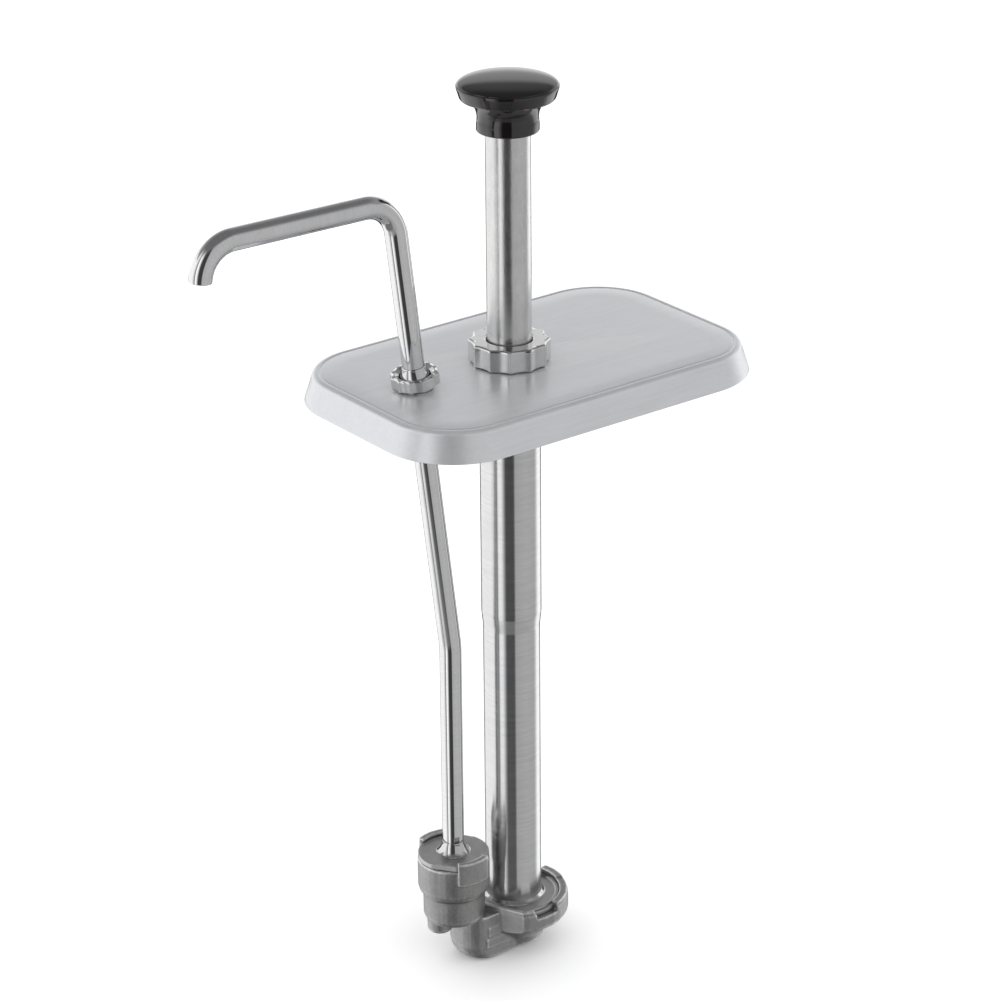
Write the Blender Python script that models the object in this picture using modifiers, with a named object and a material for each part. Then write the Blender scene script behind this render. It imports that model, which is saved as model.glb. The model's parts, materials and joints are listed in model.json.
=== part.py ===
"""Condiment pump dispenser: a plunger pump with a bent spout, carried by a jar lid.

Metres, +Z up. The origin is the middle of the lid's underside, the plane that
rests on the jar's rim. +X runs along the lid, away from the spout.
"""

import math

import bmesh
import bpy
from mathutils import Vector

# Clearances
GAP = 0.0003  # between two pieces that touch
GUIDE_CLEARANCE = 0.0002  # plunger in its bushing, radially
SEAL_CLEARANCE = 0.0003  # piston seal in the bore, radially
SPRING_CLEARANCE = 0.0008  # spring to the plunger and to the cylinder, radially
COLLAR_HOLE_CLEARANCE = 0.0006  # plunger through the lock collar, radially
THREAD_CLEARANCE = 0.0003  # between a threaded pair, modelled plain

# Lid, a drawn sheet pan turned upside down
LID_LENGTH = 0.244
LID_WIDTH = 0.1555
LID_CORNER_RADIUS = 0.0445
LID_SHEET = 0.0012
LID_DEPTH = 0.017
LID_TAPER = 0.0042  # the top's edge lies this far inside the rim's
LID_EDGE_RADIUS = 0.0034
LID_LIP = 0.0016  # outward kick of the skirt's lowest part
LID_CORNER_STEPS = 9

# Where the axes stand on the lid, and how deep the pump reaches
CYLINDER_X = -0.0136
AXIS_SPACING = 0.0445  # cylinder to discharge tube, at the valve body
CYLINDER_REACH = 0.3413  # lid's underside to the top of the cylinder's flange

# Plunger, knob and stroke
PLUNGER_DIAMETER = 0.0254
PLUNGER_WALL = 0.0012
STROKE = 0.110
KNOB_STOP_GAP = 0.0121  # knob to lock collar with the plunger right down
KNOB_DIAMETER = 0.0572
KNOB_DOME = 0.0052
KNOB_RIM_HEIGHT = 0.0259
KNOB_BAND_HEIGHT = 0.0079
KNOB_BAND_TAPER = 0.0018
KNOB_NECK_WALL = 0.0044
KNOB_NECK_FLARE = 0.0036
KNOB_SOCKET_DEPTH = 0.004
STUD_RADIUS = 0.0048
STUD_LENGTH = 0.0165
STUD_PLUG_LENGTH = 0.018

# Return spring
SPRING_WIRE = 0.002
SPRING_TURNS = 13
SPRING_SPARE = 0.0004  # left between the coils with the plunger right down
SHOULDER_HEIGHT = 0.004
SPRING_WASHER = 0.0015

# Cylinder
CYLINDER_WALL = 0.0012
CYLINDER_STEP = 0.0009  # the lower bore is this much smaller in radius
CYLINDER_STEP_HEIGHT = 0.009

# Top fitting, bushing and lock collar
BUSHING_WALL = 0.0017
BUSHING_LENGTH = 0.0205
NECK_WALL = 0.0021
FITTING_FLANGE_WIDTH = 0.0022
FITTING_FLANGE = 0.003
FITTING_SOCKET_WALL = 0.002
FITTING_SOCKET_DEPTH = 0.009
COLLAR_HEIGHT = 0.0134
COLLAR_TOP = 0.0025
COLLAR_WALL = 0.0066
FLUTE_COUNT = 12
COLLAR_FLUTE_TURN = math.radians(24.1)
COLLAR_FLUTE_DEPTH = 0.0015

# Piston stack, hung below the plunger on a stud
PISTON_END_GAP = 0.0033  # stack to the cylinder's foot with the plunger right down
END_PLUG_LENGTH = 0.014
END_SHOULDER = 0.003
PISTON_STUD_RADIUS = 0.004
PISTON_WASHER = 0.003
PISTON_SEAL = 0.0055
PISTON_BODY = 0.007
PISTON_NUT = 0.0055
PISTON_NUT_RADIUS = 0.0085
PISTON_INSET = 0.0002  # washer and body stand this far inside the seal
SEAL_LIP = 0.0016

# Cylinder flange and the socket that holds it
FLANGE_WIDTH = 0.0124
FLANGE_THICKNESS = 0.003
FLAT_ANGLE = math.radians(-154.0)
SOCKET_WALL = 0.0036
SOCKET_DEPTH = 0.0117
LIP_OVERLAP = 0.0014
LIP_HEIGHT = 0.0021
CYLINDER_RING_WIRE = 0.0013

# Discharge chamber
TUBE_FLANGE_DROP = 0.0432  # tube flange's top above the cylinder flange's top
TUBE_FLANGE_RADIUS = 0.021
TUBE_FLANGE_THICKNESS = 0.003
TUBE_FLANGE_FLAT = 0.0194
TUBE_FLANGE_TURN = math.radians(36.5)
TUBE_HUB_HEIGHT = 0.0075
TUBE_HUB_WIDTH = 0.0035
CUP_HEIGHT = 0.0225
CUP_SHOULDER = 0.003
CHAMBER_RADIUS = 0.0184
CHAMBER_HEIGHT = 0.041
CHAMBER_BORE = 0.008
TUBE_RING_WIRE = 0.0009
CAGE_HEIGHT = 0.005
CAGE_WALL = 0.0012
CAGE_BAR_RADIUS = 0.0013

# Check valves
BALL_RADIUS = 0.00556
BALL_LIFT = 0.004
SEAT_RADIUS = 0.0044
SEAT_LAND = 0.005
INTAKE_X_SHARE = 0.5  # intake valve, as a share of the way from tube to cylinder
PLUG_RADIUS = 0.0085
PLUG_HEIGHT = 0.0072
HEEL_WIDTH = 0.030
HEEL_DEPTH = 0.0305  # cylinder flange's top to the underside
HEEL_HEIGHT = 0.030
HEEL_CORNER_RADIUS = 0.0125
HEEL_SECTIONS = (  # height, then how far the chamber end, the sides and the boss end draw in
    (0.0, 0.0085, 0.0026, 0.008),
    (0.0009, 0.0058, 0.0009, 0.0066),
    (0.0026, 0.0033, 0.0001, 0.0045),
    (0.0055, 0.0011, 0.0, 0.002),
    (0.010, 0.0, 0.0, 0.0),
    (HEEL_HEIGHT, 0.0, 0.0, 0.0),
)
PANEL_RISE = 0.0007
PASSAGE_RADIUS = 0.007
RISER_RADIUS = 0.0038

# Discharge tube
TUBE_DIAMETER = 0.0127
TUBE_WALL = 0.001
TUBE_BEND_Z = -0.1637
SPOUT_HOLE_X = -0.0788
ARM_HEIGHT = 0.1123
ARM_RISE = 0.0019  # how far the arm climbs from the top bend to the spout
SPOUT_X = -0.2165
SPOUT_DROP = 0.0196  # arm's axis to the spout's mouth
SPOUT_LEAN = 0.0025  # how far the mouth lies beyond the bend's corner
TOP_BEND_RADIUS = 0.021
SPOUT_BEND_RADIUS = 0.0205
FOOT_BEND_RADIUS = 0.060
BEND_STEP = math.radians(11.0)

# Spout nut, on the tilted part of the tube
NUT_WALL = 0.0044
NUT_HEIGHT = 0.0075
NUT_TOP = 0.0023
NUT_FLUTE_TURN = math.radians(12.5)
NUT_FLUTE_DEPTH = 0.0009
SPOUT_BUSHING_WALL = 0.0027
SPOUT_BUSHING_FLANGE = 0.003
SPOUT_SEAL_HEIGHT = 0.0018
FERRULE_WALL = 0.0019
FERRULE_HEIGHT = 0.006

# Sides of the round pieces
LARGE_STEPS = 36
SMALL_STEPS = 24

# Sizes that follow from those above
PLUNGER_RADIUS = PLUNGER_DIAMETER / 2
SPRING_RADIUS = PLUNGER_RADIUS + SPRING_CLEARANCE + SPRING_WIRE / 2
UPPER_BORE = SPRING_RADIUS + SPRING_WIRE / 2 + SPRING_CLEARANCE
UPPER_RADIUS = UPPER_BORE + CYLINDER_WALL
LOWER_BORE = UPPER_BORE - CYLINDER_STEP
LOWER_RADIUS = LOWER_BORE + CYLINDER_WALL
BUSHING_BORE = PLUNGER_RADIUS + GUIDE_CLEARANCE
BUSHING_RADIUS = BUSHING_BORE + BUSHING_WALL
NECK_BORE = BUSHING_RADIUS + GAP
NECK_RADIUS = NECK_BORE + NECK_WALL
COLLAR_BORE = NECK_RADIUS + THREAD_CLEARANCE
COLLAR_RADIUS = COLLAR_BORE + COLLAR_WALL

LID_TOP = LID_SHEET
COLLAR_FOOT_Z = LID_TOP + GAP
COLLAR_TOP_Z = COLLAR_FOOT_Z + COLLAR_HEIGHT
NECK_TOP_Z = COLLAR_TOP_Z - COLLAR_TOP - GAP
BUSHING_FOOT_Z = NECK_TOP_Z - BUSHING_LENGTH
SHOULDER_TOP_Z = BUSHING_FOOT_Z - GAP
SPRING_TOP_Z = SHOULDER_TOP_Z - SHOULDER_HEIGHT - GAP
SPRING_LENGTH = STROKE + (SPRING_TURNS + 1) * SPRING_WIRE + SPRING_SPARE
SPRING_FOOT_Z = SPRING_TOP_Z - SPRING_LENGTH
STEP_TOP_Z = SPRING_FOOT_Z - GAP - SPRING_WASHER - GAP
STEP_FOOT_Z = STEP_TOP_Z - CYLINDER_STEP_HEIGHT
CYLINDER_TOP_Z = -GAP - FITTING_FLANGE - GAP
KNOB_BASE_Z = COLLAR_TOP_Z + STROKE + KNOB_STOP_GAP
PLUNGER_TOP_Z = KNOB_BASE_Z + KNOB_SOCKET_DEPTH - GAP

FLANGE_TOP_Z = -CYLINDER_REACH
FLANGE_FOOT_Z = FLANGE_TOP_Z - FLANGE_THICKNESS
FLANGE_RADIUS = LOWER_RADIUS + FLANGE_WIDTH
FACET_DISTANCE = AXIS_SPACING - CHAMBER_RADIUS
SOCKET_RADIUS = FLANGE_RADIUS + GAP + SOCKET_WALL
FLAT_DISTANCE = FACET_DISTANCE - SOCKET_WALL
STACK_FOOT_Z = FLANGE_TOP_Z + PISTON_END_GAP + STROKE

TUBE_X = CYLINDER_X - AXIS_SPACING
TUBE_RADIUS = TUBE_DIAMETER / 2
TUBE_FLANGE_TOP_Z = FLANGE_TOP_Z + TUBE_FLANGE_DROP
TUBE_FLANGE_FOOT_Z = TUBE_FLANGE_TOP_Z - TUBE_FLANGE_THICKNESS
CUP_TOP_Z = TUBE_FLANGE_FOOT_Z - GAP
CUP_RADIUS = TUBE_FLANGE_RADIUS + GAP
CHAMBER_FOOT_Z = CUP_TOP_Z - CHAMBER_HEIGHT
HEEL_FOOT_Z = FLANGE_TOP_Z - HEEL_DEPTH
HEEL_TOP_Z = HEEL_FOOT_Z + HEEL_HEIGHT
INTAKE_X = TUBE_X + AXIS_SPACING * INTAKE_X_SHARE
RISER_X = TUBE_X + CHAMBER_RADIUS / 2
BALL_RISE = math.sqrt(BALL_RADIUS**2 - SEAT_RADIUS**2)
PLUG_TOP_Z = HEEL_FOOT_Z + PLUG_HEIGHT
PASSAGE_Z = PLUG_TOP_Z + GAP + PASSAGE_RADIUS + 0.0008
CAGE_TOP_Z = CUP_TOP_Z - GAP
CAGE_BAR_Z = CAGE_TOP_Z - CAGE_HEIGHT + CAGE_BAR_RADIUS
DISCHARGE_BALL_Z = CAGE_TOP_Z - CAGE_HEIGHT - GAP - BALL_LIFT - BALL_RADIUS
DISCHARGE_SEAT_Z = DISCHARGE_BALL_Z - BALL_RISE

TILT = math.atan2(TUBE_X - SPOUT_HOLE_X, LID_TOP - TUBE_BEND_Z)
NUT_BORE = TUBE_RADIUS + GAP + SPOUT_BUSHING_WALL + THREAD_CLEARANCE
NUT_RADIUS = NUT_BORE + NUT_WALL
NUT_FOOT = NUT_RADIUS * math.sin(TILT) + GAP * 2


# Building blocks


def collection_named(name):
    made = bpy.data.collections.new(name)
    bpy.context.scene.collection.children.link(made)
    return made


def material_named(name, colour, roughness, metallic):
    made = bpy.data.materials.new(name)
    made.use_nodes = True
    shader = made.node_tree.nodes["Principled BSDF"]
    shader.inputs["Base Color"].default_value = (*colour, 1.0)
    shader.inputs["Roughness"].default_value = roughness
    shader.inputs["Metallic"].default_value = metallic
    return made


def add_object(name, data, place, finish):
    """Put a new object in the pump's collection, or with no finish in the cutters'."""
    made = bpy.data.objects.new(name, data)
    made.location = place
    if finish is None:
        cutters.objects.link(made)
        made.hide_render = True
        made.display_type = "WIRE"
    else:
        pump.objects.link(made)
        data.materials.append(finish)
    return made


def turned(name, profile, place, finish, steps=LARGE_STEPS):
    """Turn a profile of (radius, height) points about the local Z axis.

    A profile that starts and ends on the axis is a solid one, listed from its top
    to its foot. Any other is closed on itself, and listed down its outer side.
    """
    count = len(profile)
    edges = [(i, i + 1) for i in range(count - 1)]
    if profile[0][0] > 0 or profile[-1][0] > 0:
        edges.append((count - 1, 0))
    mesh = bpy.data.meshes.new(name)
    mesh.from_pydata([(r, 0.0, z) for r, z in profile], edges, [])
    made = add_object(name, mesh, place, finish)
    screw = made.modifiers.new("turn", "SCREW")
    screw.steps = steps
    screw.render_steps = steps
    screw.use_merge_vertices = True
    screw.merge_threshold = 0.00001
    screw.use_smooth_shade = True
    return made


def ring_profile(inner, outer, top, foot):
    return [(inner, top), (outer, top), (outer, foot), (inner, foot)]


def rod_profile(radius, top, foot):
    return [(0.0, top), (radius, top), (radius, foot), (0.0, foot)]


def as_mesh(curve_object):
    """Swap a curve object for its mesh, with the caps welded on."""
    bpy.context.view_layer.update()
    graph = bpy.context.evaluated_depsgraph_get()
    name = curve_object.name
    mesh = bpy.data.meshes.new_from_object(curve_object.evaluated_get(graph))
    welded = bmesh.new()
    welded.from_mesh(mesh)
    bmesh.ops.remove_doubles(welded, verts=welded.verts, dist=0.000002)
    bmesh.ops.recalc_face_normals(welded, faces=welded.faces)
    welded.to_mesh(mesh)
    welded.free()
    made = bpy.data.objects.new(name, mesh)
    made.matrix_world = curve_object.matrix_world
    for holder in curve_object.users_collection:
        holder.objects.link(made)
    made.hide_render = curve_object.hide_render
    made.display_type = curve_object.display_type
    bpy.data.objects.remove(curve_object)
    made.name = name
    return made


def plate(name, outline, foot, top, place, finish):
    """A flat piece with the given outline, from the height foot to the height top."""
    curve = bpy.data.curves.new(name, "CURVE")
    curve.dimensions = "2D"
    curve.fill_mode = "BOTH"
    curve.extrude = (top - foot) / 2
    spline = curve.splines.new("POLY")
    spline.points.add(len(outline) - 1)
    for point, (x, y) in zip(spline.points, outline):
        point.co = (x, y, 0.0, 1.0)
    spline.use_cyclic_u = True
    middle = Vector(place) + Vector((0.0, 0.0, (foot + top) / 2))
    return as_mesh(add_object(name, curve, middle, finish))


def arc_points(radius, start, end, steps):
    turns = [start + (end - start) * i / steps for i in range(steps + 1)]
    return [(radius * math.cos(turn), radius * math.sin(turn)) for turn in turns]


def sector(inner, outer, start, end, steps=8):
    """Outline of a ring's stretch between two angles given in degrees."""
    start, end = math.radians(start), math.radians(end)
    return arc_points(outer, start, end, steps) + arc_points(inner, end, start, steps)


def flatted_circle(radius, distance, angles, steps=LARGE_STEPS):
    """Outline of a disc with flats that face the given angles, at that distance."""
    half = math.acos(distance / radius)
    corners = [angle + side * half for angle in angles for side in (-1, 1)]
    turns = [math.tau * i / steps for i in range(steps)]
    free = [
        turn
        for turn in turns
        if all(math.cos(turn - angle) < math.cos(half) for angle in angles)
    ]
    ordered = sorted(turn % math.tau for turn in free + corners)
    return [(radius * math.cos(turn), radius * math.sin(turn)) for turn in ordered]


def fluted_circle(radius, depth, count, turn, steps_per_flute=6):
    """Outline of a grip ring: shallow hollows between narrow ridges."""
    outline = []
    for i in range(count * steps_per_flute):
        phase = (i % steps_per_flute) / steps_per_flute
        reach = radius - depth * math.sin(math.pi * phase) ** 0.7
        angle = turn + math.tau * i / (count * steps_per_flute)
        outline.append((reach * math.cos(angle), reach * math.sin(angle)))
    return outline


def block(name, sides, place, finish, turn=0.0, bevel=0.0):
    """A box of the given sides, with its edges rounded where bevel is given."""
    shape = bmesh.new()
    bmesh.ops.create_cube(shape, size=1.0)
    bmesh.ops.scale(shape, vec=sides, verts=shape.verts)
    mesh = bpy.data.meshes.new(name)
    shape.to_mesh(mesh)
    shape.free()
    made = add_object(name, mesh, place, finish)
    made.rotation_euler = (0.0, 0.0, turn)
    if bevel:
        rounding = made.modifiers.new("round", "BEVEL")
        rounding.width = bevel
        rounding.segments = 3
    return made


def ball(name, radius, place, finish):
    shape = bmesh.new()
    bmesh.ops.create_uvsphere(shape, u_segments=20, v_segments=12, radius=radius)
    mesh = bpy.data.meshes.new(name)
    shape.to_mesh(mesh)
    shape.free()
    mesh.shade_smooth()
    return add_object(name, mesh, place, finish)


def join_or_cut(target, other, operation):
    modifier = target.modifiers.new(other.name, "BOOLEAN")
    modifier.operation = operation
    modifier.solver = "EXACT"
    modifier.object = other


def cut(target, *cutters_used):
    for other in cutters_used:
        join_or_cut(target, other, "DIFFERENCE")


def join(target, *others):
    for other in others:
        join_or_cut(target, other, "UNION")


def smooth_by_angle(made, degrees=35.0):
    made.data.shade_smooth()
    made.data.set_sharp_from_angle(angle=math.radians(degrees))


def bent_path(corners, radii):
    """Points along a run of straight stretches, with an arc at each inner corner."""
    points = [Vector(corners[0])]
    for before, corner, after, radius in zip(corners, corners[1:], corners[2:], radii):
        corner = Vector(corner)
        back = (Vector(before) - corner).normalized()
        ahead = (Vector(after) - corner).normalized()
        turn = math.pi - back.angle(ahead)
        reach = radius * math.tan(turn / 2)
        centre = corner + (back + ahead).normalized() * radius / math.cos(turn / 2)
        start = corner + back * reach - centre
        across = -back * radius
        steps = max(3, round(turn / BEND_STEP))
        for i in range(steps + 1):
            angle = turn * i / steps
            points.append(centre + start * math.cos(angle) + across * math.sin(angle))
    points.append(Vector(corners[-1]))
    return points


def path_curve(name, points, radius, resolution, place, finish, caps):
    """A round bar or, without caps, an open pipe surface along the points."""
    curve = bpy.data.curves.new(name, "CURVE")
    curve.dimensions = "3D"
    curve.bevel_depth = radius
    curve.bevel_resolution = resolution
    curve.use_fill_caps = caps
    spline = curve.splines.new("POLY")
    spline.points.add(len(points) - 1)
    for point, co in zip(spline.points, points):
        point.co = (*co, 1.0)
    spline.use_smooth = True
    return add_object(name, curve, place, finish)


# Pieces


def rounded_rectangle(length, width, radius, height):
    """Corner points of a rounded rectangle, anticlockwise from the +X side."""
    points = []
    centres = ((1, 1), (-1, 1), (-1, -1), (1, -1))
    for quarter, (side_x, side_y) in enumerate(centres):
        middle_x = side_x * (length / 2 - radius)
        middle_y = side_y * (width / 2 - radius)
        for i in range(LID_CORNER_STEPS + 1):
            angle = math.pi / 2 * (quarter + i / LID_CORNER_STEPS)
            x = middle_x + radius * math.cos(angle)
            y = middle_y + radius * math.sin(angle)
            points.append((x, y, height))
    return points


def lid_sections():
    """(inset, height) of the lid's outer face, from the flat top down to the rim."""
    radius = LID_EDGE_RADIUS
    lean = math.atan2(LID_TAPER - LID_LIP, LID_DEPTH - radius)
    sections = []
    for i in range(5):
        angle = (math.pi / 2 - lean) * i / 4
        inset = LID_TAPER + radius * (1 - math.sin(angle))
        sections.append((inset, LID_TOP - radius * (1 - math.cos(angle))))
    foot = LID_TOP - LID_DEPTH
    sections.append((LID_LIP, foot + LID_DEPTH * 0.3))
    sections.append((LID_LIP * 0.4, foot + LID_DEPTH * 0.14))
    sections.append((0.0, foot + LID_DEPTH * 0.05))
    sections.append((0.0, foot))
    return sections


def make_lid(finish):
    loops = [
        rounded_rectangle(
            LID_LENGTH - 2 * inset, LID_WIDTH - 2 * inset, LID_CORNER_RADIUS - inset, z
        )
        for inset, z in lid_sections()
    ]
    count = len(loops[0])
    faces = [tuple(range(count))]
    for row in range(len(loops) - 1):
        for i in range(count):
            a = row * count + i
            b = row * count + (i + 1) % count
            faces.append((a, a + count, b + count, b))
    mesh = bpy.data.meshes.new("lid")
    mesh.from_pydata([point for loop in loops for point in loop], [], faces)
    made = add_object("lid", mesh, (0.0, 0.0, 0.0), finish)
    sheet = made.modifiers.new("sheet", "SOLIDIFY")
    sheet.thickness = LID_SHEET
    sheet.offset = -1.0
    sheet.use_even_offset = True
    hole = NECK_RADIUS + THREAD_CLEARANCE
    cut(
        made,
        turned("lid_hole", rod_profile(hole, 0.01, -0.01), (CYLINDER_X, 0, 0), None),
        on_tilt("spout_hole", rod_profile(NUT_BORE, 0.012, -0.014), None),
    )
    smooth_by_angle(made)
    return made


def make_knob(finish):
    """The knob's profile: dome, tapering band, undercut, hollow neck, base band."""
    rim = KNOB_DIAMETER / 2
    neck = PLUNGER_RADIUS + KNOB_NECK_WALL
    band_foot = KNOB_RIM_HEIGHT - KNOB_BAND_HEIGHT
    profile = []
    for i in range(8):
        angle = math.pi / 2 * i / 7
        height = KNOB_RIM_HEIGHT + KNOB_DOME * math.cos(angle)
        profile.append((rim * math.sin(angle), height))
    profile.append((rim - KNOB_BAND_TAPER, band_foot + 0.0006))
    profile.append((rim - KNOB_BAND_TAPER - 0.001, band_foot))
    flare_top = band_foot - 0.0012
    flare_foot = 0.0055
    for i in range(6):
        share = i / 5
        reach = neck + KNOB_NECK_FLARE * (1 - share) ** 2
        profile.append((reach, flare_top + (flare_foot - flare_top) * share))
    socket = PLUNGER_RADIUS + GAP
    hole = STUD_RADIUS + THREAD_CLEARANCE
    hole_top = KNOB_SOCKET_DEPTH + STUD_LENGTH + GAP * 2
    profile += [(neck + 0.0004, 0.004), (neck + 0.0004, 0.001), (neck - 0.0006, 0.0)]
    profile += [(socket, 0.0), (socket, KNOB_SOCKET_DEPTH)]
    profile += [(hole, KNOB_SOCKET_DEPTH), (hole, hole_top), (0.0, hole_top)]
    turned("knob", profile, (CYLINDER_X, 0, KNOB_BASE_Z), finish)


def make_plunger(finishes):
    """Plunger tube, the stud that holds the knob, and the shoulder on the spring."""
    place = (CYLINDER_X, 0, 0)
    bore = PLUNGER_RADIUS - PLUNGER_WALL
    plug = bore - GAP
    shoulder_z = stack_heights()["end_fitting"]
    tube = ring_profile(bore, PLUNGER_RADIUS, PLUNGER_TOP_Z, shoulder_z + GAP)
    turned("plunger_tube", tube, place, finishes["steel"])
    plug_top = PLUNGER_TOP_Z - GAP
    stud = [
        (0.0, plug_top + STUD_LENGTH),
        (STUD_RADIUS, plug_top + STUD_LENGTH),
        (STUD_RADIUS, plug_top),
        (plug, plug_top),
        (plug, plug_top - STUD_PLUG_LENGTH),
        (0.0, plug_top - STUD_PLUG_LENGTH),
    ]
    turned("knob_stud", stud, place, finishes["steel"], SMALL_STEPS)
    inner = PLUNGER_RADIUS + GAP
    outer = UPPER_BORE - SPRING_CLEARANCE
    shoulder = ring_profile(inner, outer, SHOULDER_TOP_Z, SHOULDER_TOP_Z - SHOULDER_HEIGHT)
    turned("spring_shoulder", shoulder, place, finishes["steel"])


def stack_heights():
    """The top of each piece of the piston stack, with the plunger up."""
    tops = {"nut": STACK_FOOT_Z + PISTON_NUT}
    tops["body"] = tops["nut"] + GAP + PISTON_BODY
    tops["seal"] = tops["body"] + GAP + PISTON_SEAL
    tops["washer"] = tops["seal"] + GAP + PISTON_WASHER
    tops["end_fitting"] = tops["washer"] + GAP + END_SHOULDER
    return tops


def make_piston(finishes):
    place = (CYLINDER_X, 0, 0)
    tops = stack_heights()
    plug = PLUNGER_RADIUS - PLUNGER_WALL - GAP
    stud = PISTON_STUD_RADIUS
    hole = stud + GAP
    full = LOWER_BORE - SEAL_CLEARANCE
    inset = full - PISTON_INSET
    fitting = [
        (0.0, tops["end_fitting"] + END_PLUG_LENGTH),
        (plug, tops["end_fitting"] + END_PLUG_LENGTH),
        (plug, tops["end_fitting"]),
        (PLUNGER_RADIUS, tops["end_fitting"]),
        (PLUNGER_RADIUS, tops["end_fitting"] - END_SHOULDER),
        (stud, tops["end_fitting"] - END_SHOULDER),
        (stud, STACK_FOOT_Z),
        (0.0, STACK_FOOT_Z),
    ]
    turned("plunger_end_fitting", fitting, place, finishes["steel"], SMALL_STEPS)
    washer_top = tops["washer"]
    washer = ring_profile(hole, inset, washer_top, washer_top - PISTON_WASHER)
    turned("piston_washer", washer, place, finishes["steel"], SMALL_STEPS)
    seal_foot = tops["seal"] - PISTON_SEAL
    seal = [
        (hole, tops["seal"]),
        (inset, tops["seal"]),
        (inset, seal_foot + PISTON_SEAL * 0.6),
        (full, seal_foot + PISTON_SEAL * 0.25),
        (full, seal_foot),
        (full - SEAL_LIP, seal_foot),
        (full - SEAL_LIP * 1.6, seal_foot + PISTON_SEAL * 0.45),
        (hole, seal_foot + PISTON_SEAL * 0.45),
    ]
    turned("piston_seal", seal, place, finishes["silicone"], LARGE_STEPS)
    rise = tops["body"] + GAP + PISTON_SEAL * 0.45 - GAP
    core = full - SEAL_LIP * 1.6 - GAP * 2
    body = [
        (hole, rise),
        (core, rise),
        (core, tops["body"]),
        (inset, tops["body"]),
        (inset, tops["body"] - PISTON_BODY + 0.001),
        (inset - 0.001, tops["body"] - PISTON_BODY),
        (hole, tops["body"] - PISTON_BODY),
    ]
    turned("piston_body", body, place, finishes["acetal"], SMALL_STEPS)
    nut = arc_points(PISTON_NUT_RADIUS, 0.0, math.tau * 5 / 6, 5)
    nut_top = tops["nut"]
    made = plate("piston_nut", nut, nut_top - PISTON_NUT, nut_top, place, finishes["steel"])
    bore = rod_profile(hole, nut_top + 0.002, STACK_FOOT_Z - 0.002)
    cut(made, turned("nut_bore", bore, place, None, SMALL_STEPS))


def make_spring(finish):
    """A coil with one closed turn at each end."""
    steps = 11
    points = []
    height = SPRING_LENGTH - SPRING_WIRE
    for i in range(SPRING_TURNS * steps + 1):
        turn = i / steps
        share = min(max((turn - 1) / (SPRING_TURNS - 2), 0.0), 1.0)
        closed = SPRING_WIRE * 1.04 * (min(turn, 1.0) + max(turn - SPRING_TURNS + 1, 0.0))
        z = closed + share * (height - SPRING_WIRE * 2.08)
        angle = math.tau * turn
        x = SPRING_RADIUS * math.cos(angle)
        points.append((x, SPRING_RADIUS * math.sin(angle), z))
    place = (CYLINDER_X, 0, SPRING_FOOT_Z + SPRING_WIRE / 2)
    path_curve("return_spring", points, SPRING_WIRE / 2, 2, place, finish, True)


def make_cylinder(finishes):
    place = (CYLINDER_X, 0, 0)
    body = [
        (UPPER_BORE, CYLINDER_TOP_Z),
        (UPPER_RADIUS, CYLINDER_TOP_Z),
        (UPPER_RADIUS, STEP_TOP_Z),
        (LOWER_RADIUS, STEP_FOOT_Z),
        (LOWER_RADIUS, FLANGE_FOOT_Z),
        (LOWER_BORE, FLANGE_FOOT_Z),
        (LOWER_BORE, STEP_FOOT_Z),
        (UPPER_BORE, STEP_TOP_Z),
    ]
    turned("cylinder", body, place, finishes["steel"])
    inner = PLUNGER_RADIUS + SPRING_CLEARANCE
    washer_top = SPRING_FOOT_Z - GAP
    washer = ring_profile(inner, UPPER_BORE - GAP, washer_top, washer_top - SPRING_WASHER)
    turned("spring_seat_washer", washer, place, finishes["steel"])
    outline = flatted_circle(FLANGE_RADIUS, FLAT_DISTANCE, [FLAT_ANGLE, FLAT_ANGLE + math.pi])
    flange = plate(
        "cylinder_flange", outline, FLANGE_FOOT_Z, FLANGE_TOP_Z, place, finishes["steel"]
    )
    hole = rod_profile(LOWER_RADIUS + GAP, FLANGE_TOP_Z + 0.002, FLANGE_FOOT_Z - 0.002)
    cut(flange, turned("flange_bore", hole, place, None))


def make_top(finishes):
    """The cylinder's top fitting, the plunger's bushing and the lock collar."""
    place = (CYLINDER_X, 0, 0)
    socket = UPPER_RADIUS + GAP
    flange_top = -GAP
    flange_foot = flange_top - FITTING_FLANGE
    skirt = socket + FITTING_SOCKET_WALL
    fitting = [
        (NECK_BORE, NECK_TOP_Z),
        (NECK_RADIUS, NECK_TOP_Z),
        (NECK_RADIUS, flange_top),
        (skirt + FITTING_FLANGE_WIDTH, flange_top),
        (skirt + FITTING_FLANGE_WIDTH, flange_foot),
        (skirt, flange_foot),
        (skirt, flange_foot - FITTING_SOCKET_DEPTH),
        (socket, flange_foot - FITTING_SOCKET_DEPTH),
        (socket, flange_foot),
        (NECK_BORE, flange_foot),
    ]
    turned("cylinder_top_fitting", fitting, place, finishes["steel"])
    bushing = ring_profile(BUSHING_BORE, BUSHING_RADIUS, NECK_TOP_Z, BUSHING_FOOT_Z)
    turned("plunger_bushing", bushing, place, finishes["acetal"])
    outline = fluted_circle(COLLAR_RADIUS, COLLAR_FLUTE_DEPTH, FLUTE_COUNT, COLLAR_FLUTE_TURN)
    collar = plate(
        "lock_collar", outline, COLLAR_FOOT_Z, COLLAR_TOP_Z, place, finishes["polished"]
    )
    hole = PLUNGER_RADIUS + COLLAR_HOLE_CLEARANCE
    bore_top = COLLAR_TOP_Z - COLLAR_TOP
    bore = [
        (0.0, COLLAR_TOP_Z + 0.002),
        (hole, COLLAR_TOP_Z + 0.002),
        (hole, bore_top),
        (COLLAR_BORE, bore_top),
        (COLLAR_BORE, COLLAR_FOOT_Z - 0.002),
        (0.0, COLLAR_FOOT_Z - 0.002),
    ]
    cut(collar, turned("collar_bore", bore, place, None))
    smooth_by_angle(collar)


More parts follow.
